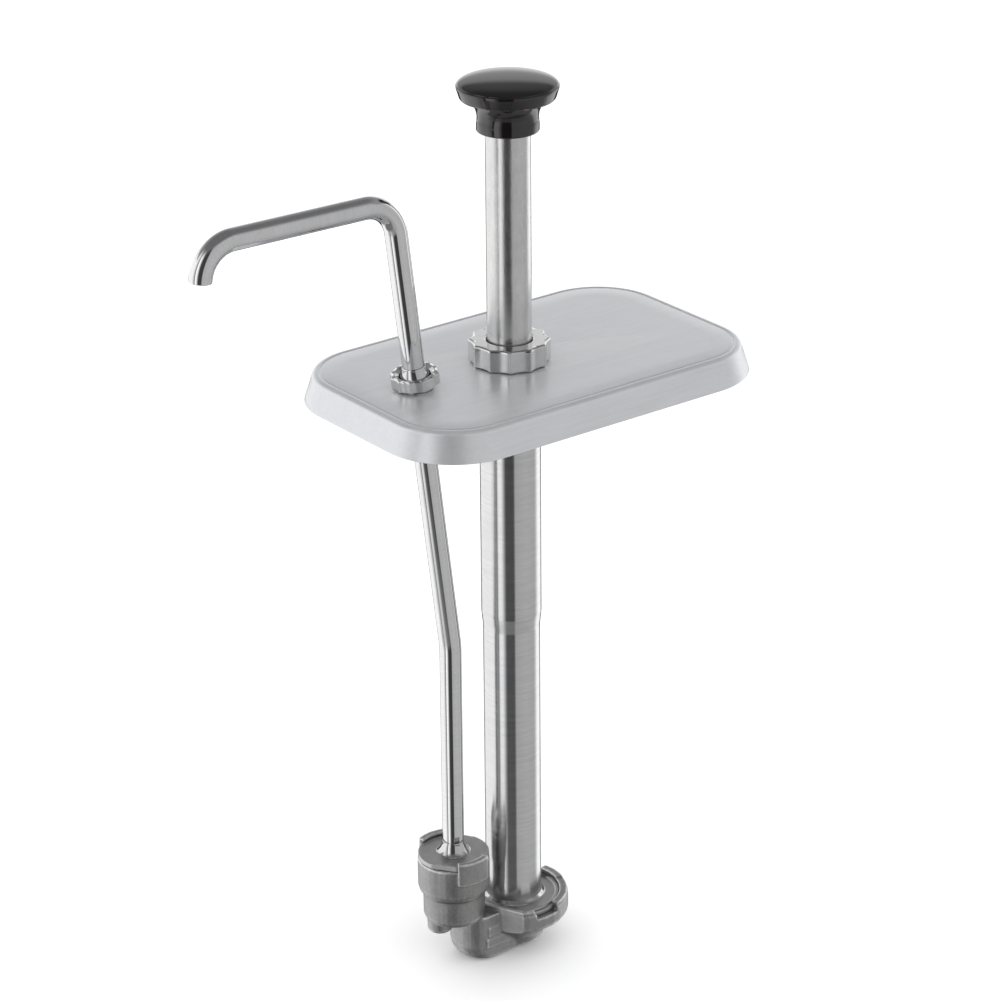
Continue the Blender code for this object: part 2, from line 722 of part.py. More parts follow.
def on_tilt(name, profile, finish, steps=SMALL_STEPS):
    """A turned piece on the tilted axis of the tube, its zero where that meets the lid."""
    made = turned(name, profile, (0, 0, 0), finish, steps)
    made.parent = spout_axis
    return made


def make_spout_mount(finishes):
    inner = TUBE_RADIUS + GAP
    outer = inner + SPOUT_BUSHING_WALL
    bore_top = NUT_FOOT + NUT_HEIGHT - NUT_TOP
    bushing_top = bore_top - SPOUT_SEAL_HEIGHT - GAP * 2
    flange = outer + SPOUT_BUSHING_FLANGE
    flange_top = -LID_SHEET - flange * math.sin(TILT) - GAP * 2
    flange_foot = flange_top - SPOUT_BUSHING_FLANGE
    bushing = [
        (inner, bushing_top),
        (outer, bushing_top),
        (outer, flange_top),
        (flange, flange_top),
        (flange, flange_foot),
        (inner, flange_foot),
    ]
    on_tilt("spout_bushing", bushing, finishes["steel"])
    seal_foot = bushing_top + GAP
    seal = ring_profile(inner, outer, seal_foot + SPOUT_SEAL_HEIGHT, seal_foot)
    on_tilt("spout_seal", seal, finishes["silicone"])
    ferrule_foot = bore_top + GAP
    ferrule = [
        (inner, ferrule_foot + FERRULE_HEIGHT),
        (inner + 0.0005, ferrule_foot + FERRULE_HEIGHT),
        (inner + FERRULE_WALL * 0.6, ferrule_foot + FERRULE_HEIGHT * 0.45),
        (inner + FERRULE_WALL, ferrule_foot),
        (inner, ferrule_foot),
    ]
    on_tilt("spout_ferrule", ferrule, finishes["polished"])
    outline = fluted_circle(NUT_RADIUS, NUT_FLUTE_DEPTH, FLUTE_COUNT, NUT_FLUTE_TURN)
    nut_top = NUT_FOOT + NUT_HEIGHT
    nut = plate("spout_nut", outline, NUT_FOOT, nut_top, (0, 0, 0), finishes["polished"])
    nut.parent = spout_axis
    mouth = inner + FERRULE_WALL + GAP
    bore = [
        (0.0, nut_top + 0.002),
        (mouth + NUT_TOP + 0.002, nut_top + 0.002),
        (mouth, bore_top + NUT_TOP * 0.35),
        (mouth, bore_top),
        (NUT_BORE, bore_top),
        (NUT_BORE, NUT_FOOT - 0.002),
        (0.0, NUT_FOOT - 0.002),
    ]
    cut(nut, on_tilt("spout_nut_bore", bore, None))
    smooth_by_angle(nut)


def make_tube(finishes):
    """The discharge tube, from its flange up through the lid and out to the spout."""
    corner_x = TUBE_X - math.tan(TILT) * (ARM_HEIGHT - TUBE_BEND_Z)
    corners = [
        (TUBE_X, 0, TUBE_FLANGE_FOOT_Z),
        (TUBE_X, 0, TUBE_BEND_Z),
        (corner_x, 0, ARM_HEIGHT),
        (SPOUT_X + SPOUT_LEAN, 0, ARM_HEIGHT + ARM_RISE),
        (SPOUT_X, 0, ARM_HEIGHT + ARM_RISE - SPOUT_DROP),
    ]
    points = bent_path(corners, (FOOT_BEND_RADIUS, TOP_BEND_RADIUS, SPOUT_BEND_RADIUS))
    tube = path_curve(
        "discharge_tube", points, TUBE_RADIUS, 6, (0, 0, 0), finishes["steel"], False
    )
    wall = tube.modifiers.new("wall", "SOLIDIFY")
    wall.thickness = TUBE_WALL
    wall.offset = -1.0
    place = (TUBE_X, 0, 0)
    turn = TUBE_FLANGE_TURN
    outline = flatted_circle(TUBE_FLANGE_RADIUS, TUBE_FLANGE_FLAT, [turn, turn + math.pi])
    flange = plate(
        "tube_flange", outline, TUBE_FLANGE_FOOT_Z, TUBE_FLANGE_TOP_Z, place, finishes["steel"]
    )
    top = TUBE_FLANGE_TOP_Z
    hub = [
        (0.0, top + TUBE_HUB_HEIGHT),
        (TUBE_RADIUS + GAP + 0.0006, top + TUBE_HUB_HEIGHT),
        (TUBE_RADIUS + GAP + TUBE_HUB_WIDTH * 0.4, top + TUBE_HUB_HEIGHT * 0.35),
        (TUBE_RADIUS + GAP + TUBE_HUB_WIDTH, top),
        (TUBE_RADIUS + GAP + TUBE_HUB_WIDTH, top - 0.001),
        (0.0, top - 0.001),
    ]
    join(flange, turned("tube_hub", hub, place, None))
    bore = rod_profile(TUBE_RADIUS + GAP, top + TUBE_HUB_HEIGHT + 0.002, CUP_TOP_Z)
    cut(flange, turned("tube_flange_bore", bore, place, None))


def heel_outline(chamber_inset, side_inset, boss_inset):
    """The heel seen from above: round at its chamber end, square inside the boss."""
    radius = HEEL_CORNER_RADIUS - side_inset
    left = TUBE_X + 0.0016 + chamber_inset
    right = CYLINDER_X - boss_inset
    middle = HEEL_WIDTH / 2 - HEEL_CORNER_RADIUS
    outline = [(right, side_inset - HEEL_WIDTH / 2), (right, HEEL_WIDTH / 2 - side_inset)]
    for side, start in ((1, math.pi / 2), (-1, math.pi)):
        for x, y in arc_points(radius, start, start + math.pi / 2, 7):
            outline.append((left + radius + x, side * middle + y))
    return outline


def make_heel():
    """The block under the chamber, its chamber end rounded off towards the underside."""
    points = []
    for height, *insets in HEEL_SECTIONS:
        points += [(x, y, HEEL_FOOT_Z + height) for x, y in heel_outline(*insets)]
    rows = len(HEEL_SECTIONS)
    count = len(points) // rows
    faces = [tuple(reversed(range(count))), tuple(range((rows - 1) * count, rows * count))]
    for row in range(rows - 1):
        for i in range(count):
            a = row * count + i
            b = row * count + (i + 1) % count
            faces.append((a, b, b + count, a + count))
    mesh = bpy.data.meshes.new("heel")
    mesh.from_pydata(points, [], faces)
    return add_object("heel", mesh, (0.0, 0.0, 0.0), None)


def make_valve_body(finish):
    """One casting: discharge chamber, cylinder socket and the heel that joins them."""
    at_tube = (TUBE_X, 0, 0)
    at_cylinder = (CYLINDER_X, 0, 0)
    cup_foot = CUP_TOP_Z - CUP_HEIGHT
    chamber = [
        (0.0, CUP_TOP_Z + 0.001),
        (CUP_RADIUS, CUP_TOP_Z + 0.001),
        (CUP_RADIUS, cup_foot + CUP_SHOULDER * 1.6),
        (CUP_RADIUS - 0.0008, cup_foot + CUP_SHOULDER * 0.7),
        (CHAMBER_RADIUS, cup_foot),
        (CHAMBER_RADIUS - 0.0002, CHAMBER_FOOT_Z + 0.004),
        (CHAMBER_RADIUS - 0.0015, CHAMBER_FOOT_Z + 0.0012),
        (CHAMBER_RADIUS - 0.005, CHAMBER_FOOT_Z),
        (0.0, CHAMBER_FOOT_Z),
    ]
    body = turned("valve_body", chamber, at_tube, finish)
    socket_foot = FLANGE_TOP_Z - SOCKET_DEPTH
    boss = LOWER_RADIUS + 0.001
    socket = [
        (0.0, FLANGE_TOP_Z),
        (SOCKET_RADIUS, FLANGE_TOP_Z),
        (SOCKET_RADIUS, socket_foot + 0.002),
        (SOCKET_RADIUS - 0.0015, socket_foot),
        (boss + 0.008, socket_foot - 0.0025),
        (boss + 0.001, HEEL_FOOT_Z + 0.008),
        (boss, HEEL_FOOT_Z + 0.0036),
        (boss - 0.003, HEEL_FOOT_Z + 0.0018),
        (0.0, HEEL_FOOT_Z + 0.0018),
    ]
    ring = turned("socket_outside", socket, at_cylinder, None)
    far = SOCKET_RADIUS
    facets = []
    for name, distance in (("facet", FACET_DISTANCE), ("wall_facet", FACET_DISTANCE - GAP)):
        middle = distance + far / 2
        x = CYLINDER_X + middle * math.cos(FLAT_ANGLE)
        place = (x, middle * math.sin(FLAT_ANGLE), FLANGE_TOP_Z)
        facets.append(block(name, (far, far * 3, 0.05), place, None, FLAT_ANGLE))
    cut(ring, facets[0])
    riser_boss = rod_profile(RISER_RADIUS * 2, HEEL_TOP_Z + 0.006, HEEL_TOP_Z - 0.006)
    join(
        body,
        ring,
        make_heel(),
        turned("riser_boss", riser_boss, (RISER_X, 0, 0), None, SMALL_STEPS),
    )
    lug_top = TUBE_FLANGE_TOP_Z + GAP + 0.0022
    lug_foot = CUP_TOP_Z - 0.009
    for name, start, end in (("front_lug", -120, -65), ("back_lug", 60, 115)):
        outline = sector(TUBE_FLANGE_RADIUS - LIP_OVERLAP, CUP_RADIUS + 0.0022, start, end)
        join(body, plate(name, outline, lug_foot, lug_top, at_tube, None))
    lip_inner = FLANGE_RADIUS - LIP_OVERLAP
    lip_top = FLANGE_TOP_Z + GAP + LIP_HEIGHT
    lip_foot = FLANGE_TOP_Z - 0.006
    raised = (
        ("front_lip", lip_inner, -74, -14, lip_top),
        ("back_lip", lip_inner, 106, 166, lip_top),
        ("side_lug", lip_inner + 0.0001, -14.5, 16, lip_top + 0.001),
        ("stop_wall", lip_inner * 0.6, -196, -104, lip_top + 0.0003),
    )
    wall_pocket = flatted_circle(FLANGE_RADIUS + GAP * 2, FLAT_DISTANCE + GAP * 2, [FLAT_ANGLE])
    for name, inner, start, end, top in raised:
        outline = sector(inner, SOCKET_RADIUS - 0.0005, start, end)
        raised_part = plate(name, outline, lip_foot, top, at_cylinder, None)
        if name == "stop_wall":
            room = plate("wall_pocket", wall_pocket, lip_foot, top + 0.002, at_cylinder, None)
            cut(raised_part, facets[1], room)
        join(body, raised_part)
    for name, left, right, foot, top in (
        ("upper_panel", 0.0082, -0.0062, 0.0162, 0.0226),
        ("lower_panel", 0.0095, -0.0155, 0.0090, 0.0148),
    ):
        sides = (left - right, PANEL_RISE * 2, top - foot)
        middle_x = INTAKE_X - (left + right) / 2
        place = (middle_x, -HEEL_WIDTH / 2, HEEL_FOOT_Z + (foot + top) / 2)
        join(body, block(name, sides, place, None))
    boss_place = (TUBE_X - 0.0062, 0.006, 0)
    boss_foot = CHAMBER_FOOT_Z - 0.0097
    boss_profile = [
        (0.0, CHAMBER_FOOT_Z + 0.006),
        (0.0078, CHAMBER_FOOT_Z + 0.006),
        (0.0075, boss_foot + 0.0015),
        (0.006, boss_foot),
        (0.0, boss_foot),
    ]
    join(body, turned("foot_boss", boss_profile, boss_place, None, SMALL_STEPS))
    cut(body, *valve_body_cutters(at_tube, at_cylinder))
    return body


def valve_body_cutters(at_tube, at_cylinder):
    """Pockets for the two flanges and rings, and the sauce's way through the body."""
    pocket_foot = FLANGE_FOOT_Z - GAP
    pocket = flatted_circle(FLANGE_RADIUS + GAP, FLAT_DISTANCE + GAP, [FLAT_ANGLE])
    slot = sector(FLANGE_RADIUS - 0.002, SOCKET_RADIUS + 0.002, -102, -73)
    lug_groove = arc_points(CUP_RADIUS + 0.0002, 0.0, math.tau * 35 / 36, 35)
    groove_foot = pocket_foot - CYLINDER_RING_WIRE * 2 - GAP
    groove_middle = LOWER_RADIUS + 0.005
    half = CYLINDER_RING_WIRE + GAP
    ring_groove = ring_profile(
        groove_middle - half, groove_middle + half, pocket_foot + 0.001, groove_foot
    )
    well = rod_profile(LOWER_BORE, pocket_foot + 0.001, PASSAGE_Z - PASSAGE_RADIUS)
    tube_half = TUBE_RING_WIRE + GAP
    tube_groove = ring_profile(
        tube_ring_radius() - tube_half,
        tube_ring_radius() + tube_half,
        CUP_TOP_Z + 0.001,
        CUP_TOP_Z - TUBE_RING_WIRE * 2 - GAP * 2,
    )
    seat_foot = DISCHARGE_SEAT_Z - SEAT_LAND
    cone = CHAMBER_BORE - SEAT_RADIUS
    bore = [
        (0.0, CUP_TOP_Z + 0.001),
        (CHAMBER_BORE, CUP_TOP_Z + 0.001),
        (CHAMBER_BORE, DISCHARGE_SEAT_Z + cone * 0.5),
        (SEAT_RADIUS, DISCHARGE_SEAT_Z - 0.0006),
        (SEAT_RADIUS, seat_foot),
        (CHAMBER_BORE - 0.001, seat_foot - 0.0015),
        (CHAMBER_BORE - 0.001, CHAMBER_FOOT_Z + 0.004),
        (0.0, CHAMBER_FOOT_Z + 0.004),
    ]
    intake = [
        (0.0, PASSAGE_Z + PASSAGE_RADIUS - 0.001),
        (PASSAGE_RADIUS - 0.0003, PASSAGE_Z + PASSAGE_RADIUS - 0.001),
        (PASSAGE_RADIUS - 0.0003, PLUG_TOP_Z + GAP),
        (PLUG_RADIUS + THREAD_CLEARANCE, PLUG_TOP_Z + GAP),
        (PLUG_RADIUS + THREAD_CLEARANCE, HEEL_FOOT_Z - 0.002),
        (0.0, HEEL_FOOT_Z - 0.002),
    ]
    passage_left = RISER_X - RISER_RADIUS
    passage = turned(
        "passage",
        rod_profile(PASSAGE_RADIUS, CYLINDER_X - passage_left, 0.0),
        (passage_left, 0, PASSAGE_Z),
        None,
        SMALL_STEPS,
    )
    passage.rotation_euler = (0.0, math.pi / 2, 0.0)
    riser = rod_profile(RISER_RADIUS - 0.0001, CHAMBER_FOOT_Z + 0.009, PASSAGE_Z)
    return (
        plate("pocket", pocket, pocket_foot, FLANGE_TOP_Z + GAP, at_cylinder, None),
        plate("slot", slot, pocket_foot + 0.0003, FLANGE_TOP_Z + 0.003, at_cylinder, None),
        plate("lug_groove", lug_groove, CUP_TOP_Z, TUBE_FLANGE_TOP_Z + GAP, at_tube, None),
        turned("cylinder_ring_groove", ring_groove, at_cylinder, None),
        turned("well", well, at_cylinder, None),
        turned("tube_ring_groove", tube_groove, at_tube, None),
        turned("chamber_bore", bore, at_tube, None, SMALL_STEPS),
        turned("intake_bore", intake, (INTAKE_X, 0, 0), None, SMALL_STEPS),
        passage,
        turned("riser", riser, (RISER_X, 0, 0), None, SMALL_STEPS),
    )


def tube_ring_radius():
    return CHAMBER_BORE + 0.0032


def seal_ring(name, radius, wire, height, x, finish):
    """A ring of round section, its middle at the given height."""
    profile = [
        (radius + wire * math.cos(angle), wire * math.sin(angle))
        for angle in (math.tau * (0.25 - i / 8) for i in range(8))
    ]
    turned(name, profile, (x, 0, height), finish, SMALL_STEPS)


def make_valves(finishes):
    """Both check balls, the intake's seat plug, the cage and the seal rings."""
    plug = [
        (SEAT_RADIUS, PLUG_TOP_Z - 0.0004),
        (SEAT_RADIUS + 0.0006, PLUG_TOP_Z),
        (PLUG_RADIUS, PLUG_TOP_Z),
        (PLUG_RADIUS, HEEL_FOOT_Z + 0.0002),
        (SEAT_RADIUS + 0.0006, HEEL_FOOT_Z + 0.0002),
        (SEAT_RADIUS, HEEL_FOOT_Z + 0.001),
    ]
    turned("intake_seat_plug", plug, (INTAKE_X, 0, 0), finishes["steel"], SMALL_STEPS)
    intake_z = PLUG_TOP_Z + BALL_RISE + GAP
    ball("intake_ball", BALL_RADIUS, (INTAKE_X, 0, intake_z), finishes["polished"])
    discharge_z = DISCHARGE_BALL_Z
    ball("discharge_ball", BALL_RADIUS, (TUBE_X, 0, discharge_z), finishes["polished"])
    cage_radius = CHAMBER_BORE - GAP
    cage_foot = CAGE_TOP_Z - CAGE_HEIGHT
    rim = ring_profile(cage_radius - CAGE_WALL, cage_radius, CAGE_TOP_Z, cage_foot)
    cage = turned("ball_cage", rim, (TUBE_X, 0, 0), finishes["steel"], SMALL_STEPS)
    bar = turned(
        "cage_bar",
        rod_profile(CAGE_BAR_RADIUS, cage_radius - 0.0006, -cage_radius + 0.0006),
        (TUBE_X, 0, CAGE_BAR_Z + 0.0001),
        None,
        12,
    )
    bar.rotation_euler = (math.pi / 2, 0.0, 0.0)
    join(cage, bar)
    ring_z = FLANGE_FOOT_Z - GAP - CYLINDER_RING_WIRE
    radius = LOWER_RADIUS + 0.005
    finish = finishes["silicone"]
    seal_ring("cylinder_o_ring", radius, CYLINDER_RING_WIRE, ring_z, CYLINDER_X, finish)
    tube_z = CUP_TOP_Z - TUBE_RING_WIRE
    seal_ring("tube_o_ring", tube_ring_radius(), TUBE_RING_WIRE, tube_z, TUBE_X, finish)


for old in list(bpy.data.objects):
    bpy.data.objects.remove(old)
pump = collection_named("condiment_pump_dispenser")
cutters = collection_named("cutters")
cutters.hide_render = True

spout_axis = bpy.data.objects.new("spout_axis", None)
spout_axis.location = (SPOUT_HOLE_X, 0.0, LID_TOP)
spout_axis.rotation_euler = (0.0, -TILT, 0.0)
pump.objects.link(spout_axis)

finishes = {
    "steel": material_named("stainless_tube", (0.62, 0.62, 0.63), 0.28, 1.0),
    "polished": material_named("polished_stainless", (0.70, 0.70, 0.71), 0.12, 1.0),
    "lid": material_named("satin_sheet", (0.66, 0.67, 0.69), 0.42, 1.0),
    "cast": material_named("blasted_casting", (0.42, 0.42, 0.43), 0.55, 1.0),
    "phenolic": material_named("dark_phenolic", (0.035, 0.018, 0.015), 0.12, 0.0),
    "silicone": material_named("seal_rubber", (0.05, 0.05, 0.055), 0.6, 0.0),
    "acetal": material_named("white_acetal", (0.8, 0.8, 0.78), 0.35, 0.0),
    "spring": material_named("spring_wire", (0.55, 0.55, 0.56), 0.3, 1.0),
}
make_lid(finishes["lid"])
make_knob(finishes["phenolic"])
make_plunger(finishes)
make_piston(finishes)
make_spring(finishes["spring"])
make_cylinder(finishes)
make_top(finishes)
make_spout_mount(finishes)
make_tube(finishes)
make_valve_body(finishes["cast"])
make_valves(finishes)
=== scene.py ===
# Lid-mounted condiment pump: surfaces, finishes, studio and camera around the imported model
import bmesh
import bpy
import json
import math
import numpy as np
from mathutils import Matrix, Vector


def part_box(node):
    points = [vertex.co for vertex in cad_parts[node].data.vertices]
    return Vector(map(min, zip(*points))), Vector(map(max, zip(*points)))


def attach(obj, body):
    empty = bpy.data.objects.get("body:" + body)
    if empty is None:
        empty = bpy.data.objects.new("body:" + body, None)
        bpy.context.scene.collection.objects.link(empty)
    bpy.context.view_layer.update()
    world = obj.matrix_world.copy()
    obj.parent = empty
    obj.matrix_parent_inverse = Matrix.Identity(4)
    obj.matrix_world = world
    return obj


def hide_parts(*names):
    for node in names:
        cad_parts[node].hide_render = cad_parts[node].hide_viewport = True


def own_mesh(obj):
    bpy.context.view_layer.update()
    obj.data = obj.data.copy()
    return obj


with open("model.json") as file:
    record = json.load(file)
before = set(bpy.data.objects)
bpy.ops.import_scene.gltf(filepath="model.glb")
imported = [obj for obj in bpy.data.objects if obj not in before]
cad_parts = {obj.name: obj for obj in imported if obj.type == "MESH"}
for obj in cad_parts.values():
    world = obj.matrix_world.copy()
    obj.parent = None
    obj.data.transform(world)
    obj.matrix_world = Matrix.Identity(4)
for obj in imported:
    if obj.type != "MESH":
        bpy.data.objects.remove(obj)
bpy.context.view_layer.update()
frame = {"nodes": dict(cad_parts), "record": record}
print("frame loaded,", len(frame["nodes"]), "nodes")

mm = 0.001
tau = math.tau


def dims(node):
    # lowest and highest corner of a CAD node as two arrays
    low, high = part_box(node)
    return np.array(low), np.array(high)


def makeObject(name, points, faces, body, nodes, finish, grain=None):
    # points (n, 3) and faces into a smooth piece that rides on a body and stands for CAD nodes
    mesh = bpy.data.meshes.new(name)
    mesh.from_pydata(np.asarray(points).tolist(), [], faces)
    piece = bpy.data.objects.new(name, mesh)
    bpy.context.scene.collection.objects.link(piece)
    mesh.shade_smooth()
    mesh.materials.append(finish)
    if grain is not None:
        layer = mesh.attributes.new("grainSpace", "FLOAT_VECTOR", "POINT")
        layer.data.foreach_set("vector", np.asarray(grain, np.float32).ravel())
    if nodes:
        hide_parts(*nodes)
    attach(piece, body)
    return piece


def gridFaces(rows, cols, wrapRows):
    # quads of a grid whose columns always close on themselves
    i = np.arange(rows if wrapRows else rows - 1)[:, None]
    j = np.arange(cols)[None, :]
    below = (i + 1) % rows
    right = (j + 1) % cols
    corners = (i * cols + j, below * cols + j, below * cols + right, i * cols + right)
    quads = np.stack([np.broadcast_to(c, (i.shape[0], cols)) for c in corners], -1)
    return quads.reshape(-1, 4).tolist()


def smoothProfile(corners, radii, arcSteps=6):
    # a line through (radius, height) corners, with each corner turned to an arc of its radius:
    # the arc leaves the corner's two sides at radius * tan(turn / 2) from it
    pts = [np.array(c, float) for c in corners]
    out = []
    closed = len(radii) == len(pts)
    count = len(pts)
    for k in range(count):
        r = radii[k] if closed else (0 if k in (0, count - 1) else radii[k - 1])
        if r <= 0:
            out.append(pts[k])
            continue
        a, p, b = pts[k - 1], pts[k], pts[(k + 1) % count]
        back = (a - p) / np.linalg.norm(a - p)
        on = (b - p) / np.linalg.norm(b - p)
        turn = math.pi - math.acos(np.clip(back @ on, -1, 1))
        if turn < 1e-4:
            out.append(p)
            continue
        reach = r * math.tan(turn / 2)
        limit = 0.49 * min(np.linalg.norm(a - p), np.linalg.norm(b - p))
        if reach > limit:
            r, reach = r * limit / reach, limit
        mid = (back + on) / np.linalg.norm(back + on)
        centre = p + mid * r / math.cos(turn / 2)
        start = p + back * reach - centre
        end = p + on * reach - centre
        s = np.linspace(0, 1, arcSteps + 1)[:, None]
        arc = (np.sin((1 - s) * turn) * start + np.sin(s * turn) * end) / math.sin(turn)
        out.extend(list(centre + arc))
    return np.array(out)


def refine(profile, step, closed=False):
    # adds points on long stretches so that no gap is over step
    ring = np.vstack([profile, profile[:1]]) if closed else profile
    parts = []
    for a, b in zip(ring[:-1], ring[1:]):
        n = max(1, int(np.linalg.norm(b - a) / step))
        parts.append(a + (b - a) * np.linspace(0, 1, n, endpoint=False)[:, None])
    if not closed:
        parts.append(ring[-1:])
    return np.vstack(parts)


def roundPiece(name, profile, axisX, body, nodes, finish, closed=True,
               steps=128, shape=None, tilt=None):
    # point(u, s) = (axis + r(s, u) cos u, r(s, u) sin u, z(s)), where r is the profile's radius
    # passed through shape; a profile that isn't closed starts and ends on the axis
    u = np.arange(steps) / steps * tau
    r = profile[:, :1] * np.ones((1, steps))
    z = profile[:, 1:] * np.ones((1, steps))
    if shape is not None:
        r, z = shape(r, z, u[None, :])
    x = r * np.cos(u)
    y = r * np.sin(u)
    length = np.concatenate([[0], np.cumsum(np.linalg.norm(np.diff(profile, axis=0), axis=1))])
    grain = np.stack([x, y, np.broadcast_to(length[:, None], x.shape)], -1).reshape(-1, 3)
    points = np.stack([x, y, z], -1).reshape(-1, 3)
    if tilt is None:
        points = points + np.array([axisX, 0, 0])
    else:
        # turned by the tilt about Y, then moved to where the tilted axis meets the lid
        c, s = math.cos(tilt), math.sin(tilt)
        points = np.stack([points[:, 0] * c - points[:, 2] * s + axisX, points[:, 1],
                           points[:, 0] * s + points[:, 2] * c + pump["lidTop"]], -1)
    rows = len(profile)
    faces = gridFaces(rows, steps, closed)
    if not closed:
        # the two poles: a fan of the first row and of the last, about one point each
        first, last = [], []
        poleTop = points[:steps].mean(0)
        poleEnd = points[-steps:].mean(0)
        n = len(points)
        points = np.vstack([points, poleTop, poleEnd])
        grain = np.vstack([grain, grain[:steps].mean(0), grain[-steps:].mean(0)])
        for k in range(steps):
            first.append((n, k, (k + 1) % steps))
            last.append((n + 1, (rows - 1) * steps + (k + 1) % steps, (rows - 1) * steps + k))
        faces = faces + first + last
    return makeObject(name, points, faces, body, nodes, finish, grain)


def finishInside(piece, radius, axisX, finish):
    # faces nearer the upright axis than radius take a second finish
    mesh = piece.data
    mesh.materials.append(finish)
    centres = np.empty(len(mesh.polygons) * 3, np.float32)
    mesh.polygons.foreach_get("center", centres)
    centres = centres.reshape(-1, 3)
    near = np.hypot(centres[:, 0] - axisX, centres[:, 1]) < radius
    mesh.polygons.foreach_set("material_index", near.astype(np.int32))
    mesh.update()


def sharpen(piece, degrees):
    piece.data.set_sharp_from_angle(angle=math.radians(degrees))


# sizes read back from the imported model
lowPlunger, highPlunger = dims("plunger_tube")
lowRing, highRing = dims("tube_o_ring")
lowCylinder, highCylinder = dims("cylinder")
pump = {
    "axisX": float((lowPlunger[0] + highPlunger[0]) / 2),
    "tubeX": float((lowRing[0] + highRing[0]) / 2),
    "lidTop": float(dims("lid")[1][2]),
    "plungerRadius": float((highPlunger[1] - lowPlunger[1]) / 2),
    "cylinderRadius": float((highCylinder[1] - lowCylinder[1]) / 2),
    "cylinderStep": 0.9 * mm,
    "spoutHoleX": -0.0788,
    "bendZ": -0.1637,
}
# the tube leans by this angle from its lower bend up to the hole in the lid
pump["tilt"] = math.atan2(pump["tubeX"] - pump["spoutHoleX"], pump["lidTop"] - pump["bendZ"])


def newGroup(name, inputs, outputs):
    group = bpy.data.node_groups.new(name, "ShaderNodeTree")
    for label, kind, value in inputs:
        socket = group.interface.new_socket(name=label, in_out="INPUT", socket_type=kind)
        if value is not None:
            socket.default_value = value
    for label, kind in outputs:
        group.interface.new_socket(name=label, in_out="OUTPUT", socket_type=kind)
    return group, group.nodes.new("NodeGroupInput"), group.nodes.new("NodeGroupOutput")


def addNode(tree, kind, **settings):
    node = tree.nodes.new(kind)
    for key, value in settings.items():
        setattr(node, key, value)
    return node


def mathNode(tree, operation, a, b=None, clamp=False):
    node = addNode(tree, "ShaderNodeMath", operation=operation, use_clamp=clamp)
    for k, value in enumerate((a, b)):
        if value is None:
            continue
        if isinstance(value, (int, float)):
            node.inputs[k].default_value = value
        else:
            tree.links.new(value, node.inputs[k])
    return node.outputs[0]


def mapRange(tree, value, low, high, toLow, toHigh, smooth=False):
    node = addNode(tree, "ShaderNodeMapRange")
    node.interpolation_type = "SMOOTHSTEP" if smooth else "LINEAR"
    tree.links.new(value, node.inputs["Value"])
    for label, item in zip(("From Min", "From Max", "To Min", "To Max"), (low, high, toLow, toHigh)):
        if isinstance(item, (int, float)):
            node.inputs[label].default_value = item
        else:
            tree.links.new(item, node.inputs[label])
    return node.outputs["Result"]


def noiseNode(tree, vector, scale, detail=2.0, rough=0.5):
    node = addNode(tree, "ShaderNodeTexNoise")
    tree.links.new(vector, node.inputs["Vector"])
    if isinstance(scale, (int, float)):
        node.inputs["Scale"].default_value = scale
    else:
        tree.links.new(scale, node.inputs["Scale"])
    node.inputs["Detail"].default_value = detail
    node.inputs["Roughness"].default_value = rough
    return node.outputs["Fac"]


def stretchVector(tree, vector, stretch):
    node = addNode(tree, "ShaderNodeVectorMath", operation="MULTIPLY")
    tree.links.new(vector, node.inputs[0])
    if isinstance(stretch, tuple):
        node.inputs[1].default_value = stretch
    else:
        tree.links.new(stretch, node.inputs[1])
    return node.outputs[0]


def buildBrushGroup():
    # fine grain: noise squeezed by Stretch, so that it runs in lines along the axis with the
    # smallest number, mixed with a coarser set of the same lines; out come 0..1 lines
    group, entry, leave = newGroup(
        "brushLines",
        [("Vector", "NodeSocketVector", None), ("Stretch", "NodeSocketVector", (1, 1, 1)),
         ("Scale", "NodeSocketFloat", 1000.0)],
        [("Lines", "NodeSocketFloat"), ("Broad", "NodeSocketFloat")])
    squeezed = stretchVector(group, entry.outputs["Vector"], entry.outputs["Stretch"])
    fine = noiseNode(group, squeezed, entry.outputs["Scale"], 3.0, 0.6)
    coarse = mathNode(group, "MULTIPLY", entry.outputs["Scale"], 0.23)
    broad = noiseNode(group, squeezed, coarse, 2.0, 0.5)
    sharp = mapRange(group, fine, 0.3, 0.7, 0.0, 1.0)
    group.links.new(sharp, leave.inputs["Lines"])
    group.links.new(mapRange(group, broad, 0.32, 0.68, 0.0, 1.0), leave.inputs["Broad"])
    return group


def buildMottleGroup():
    # cloudy tone: two octaves of noise, the small one lying over the large one
    group, entry, leave = newGroup(
        "mottle",
        [("Vector", "NodeSocketVector", None), ("Scale", "NodeSocketFloat", 60.0)],
        [("Clouds", "NodeSocketFloat"), ("Specks", "NodeSocketFloat")])
    large = noiseNode(group, entry.outputs["Vector"], entry.outputs["Scale"], 3.0, 0.55)
    fineScale = mathNode(group, "MULTIPLY", entry.outputs["Scale"], 14.0)
    small = noiseNode(group, entry.outputs["Vector"], fineScale, 2.0, 0.6)
    group.links.new(mapRange(group, large, 0.3, 0.7, 0.0, 1.0), leave.inputs["Clouds"])
    group.links.new(mapRange(group, small, 0.35, 0.65, 0.0, 1.0), leave.inputs["Specks"])
    return group


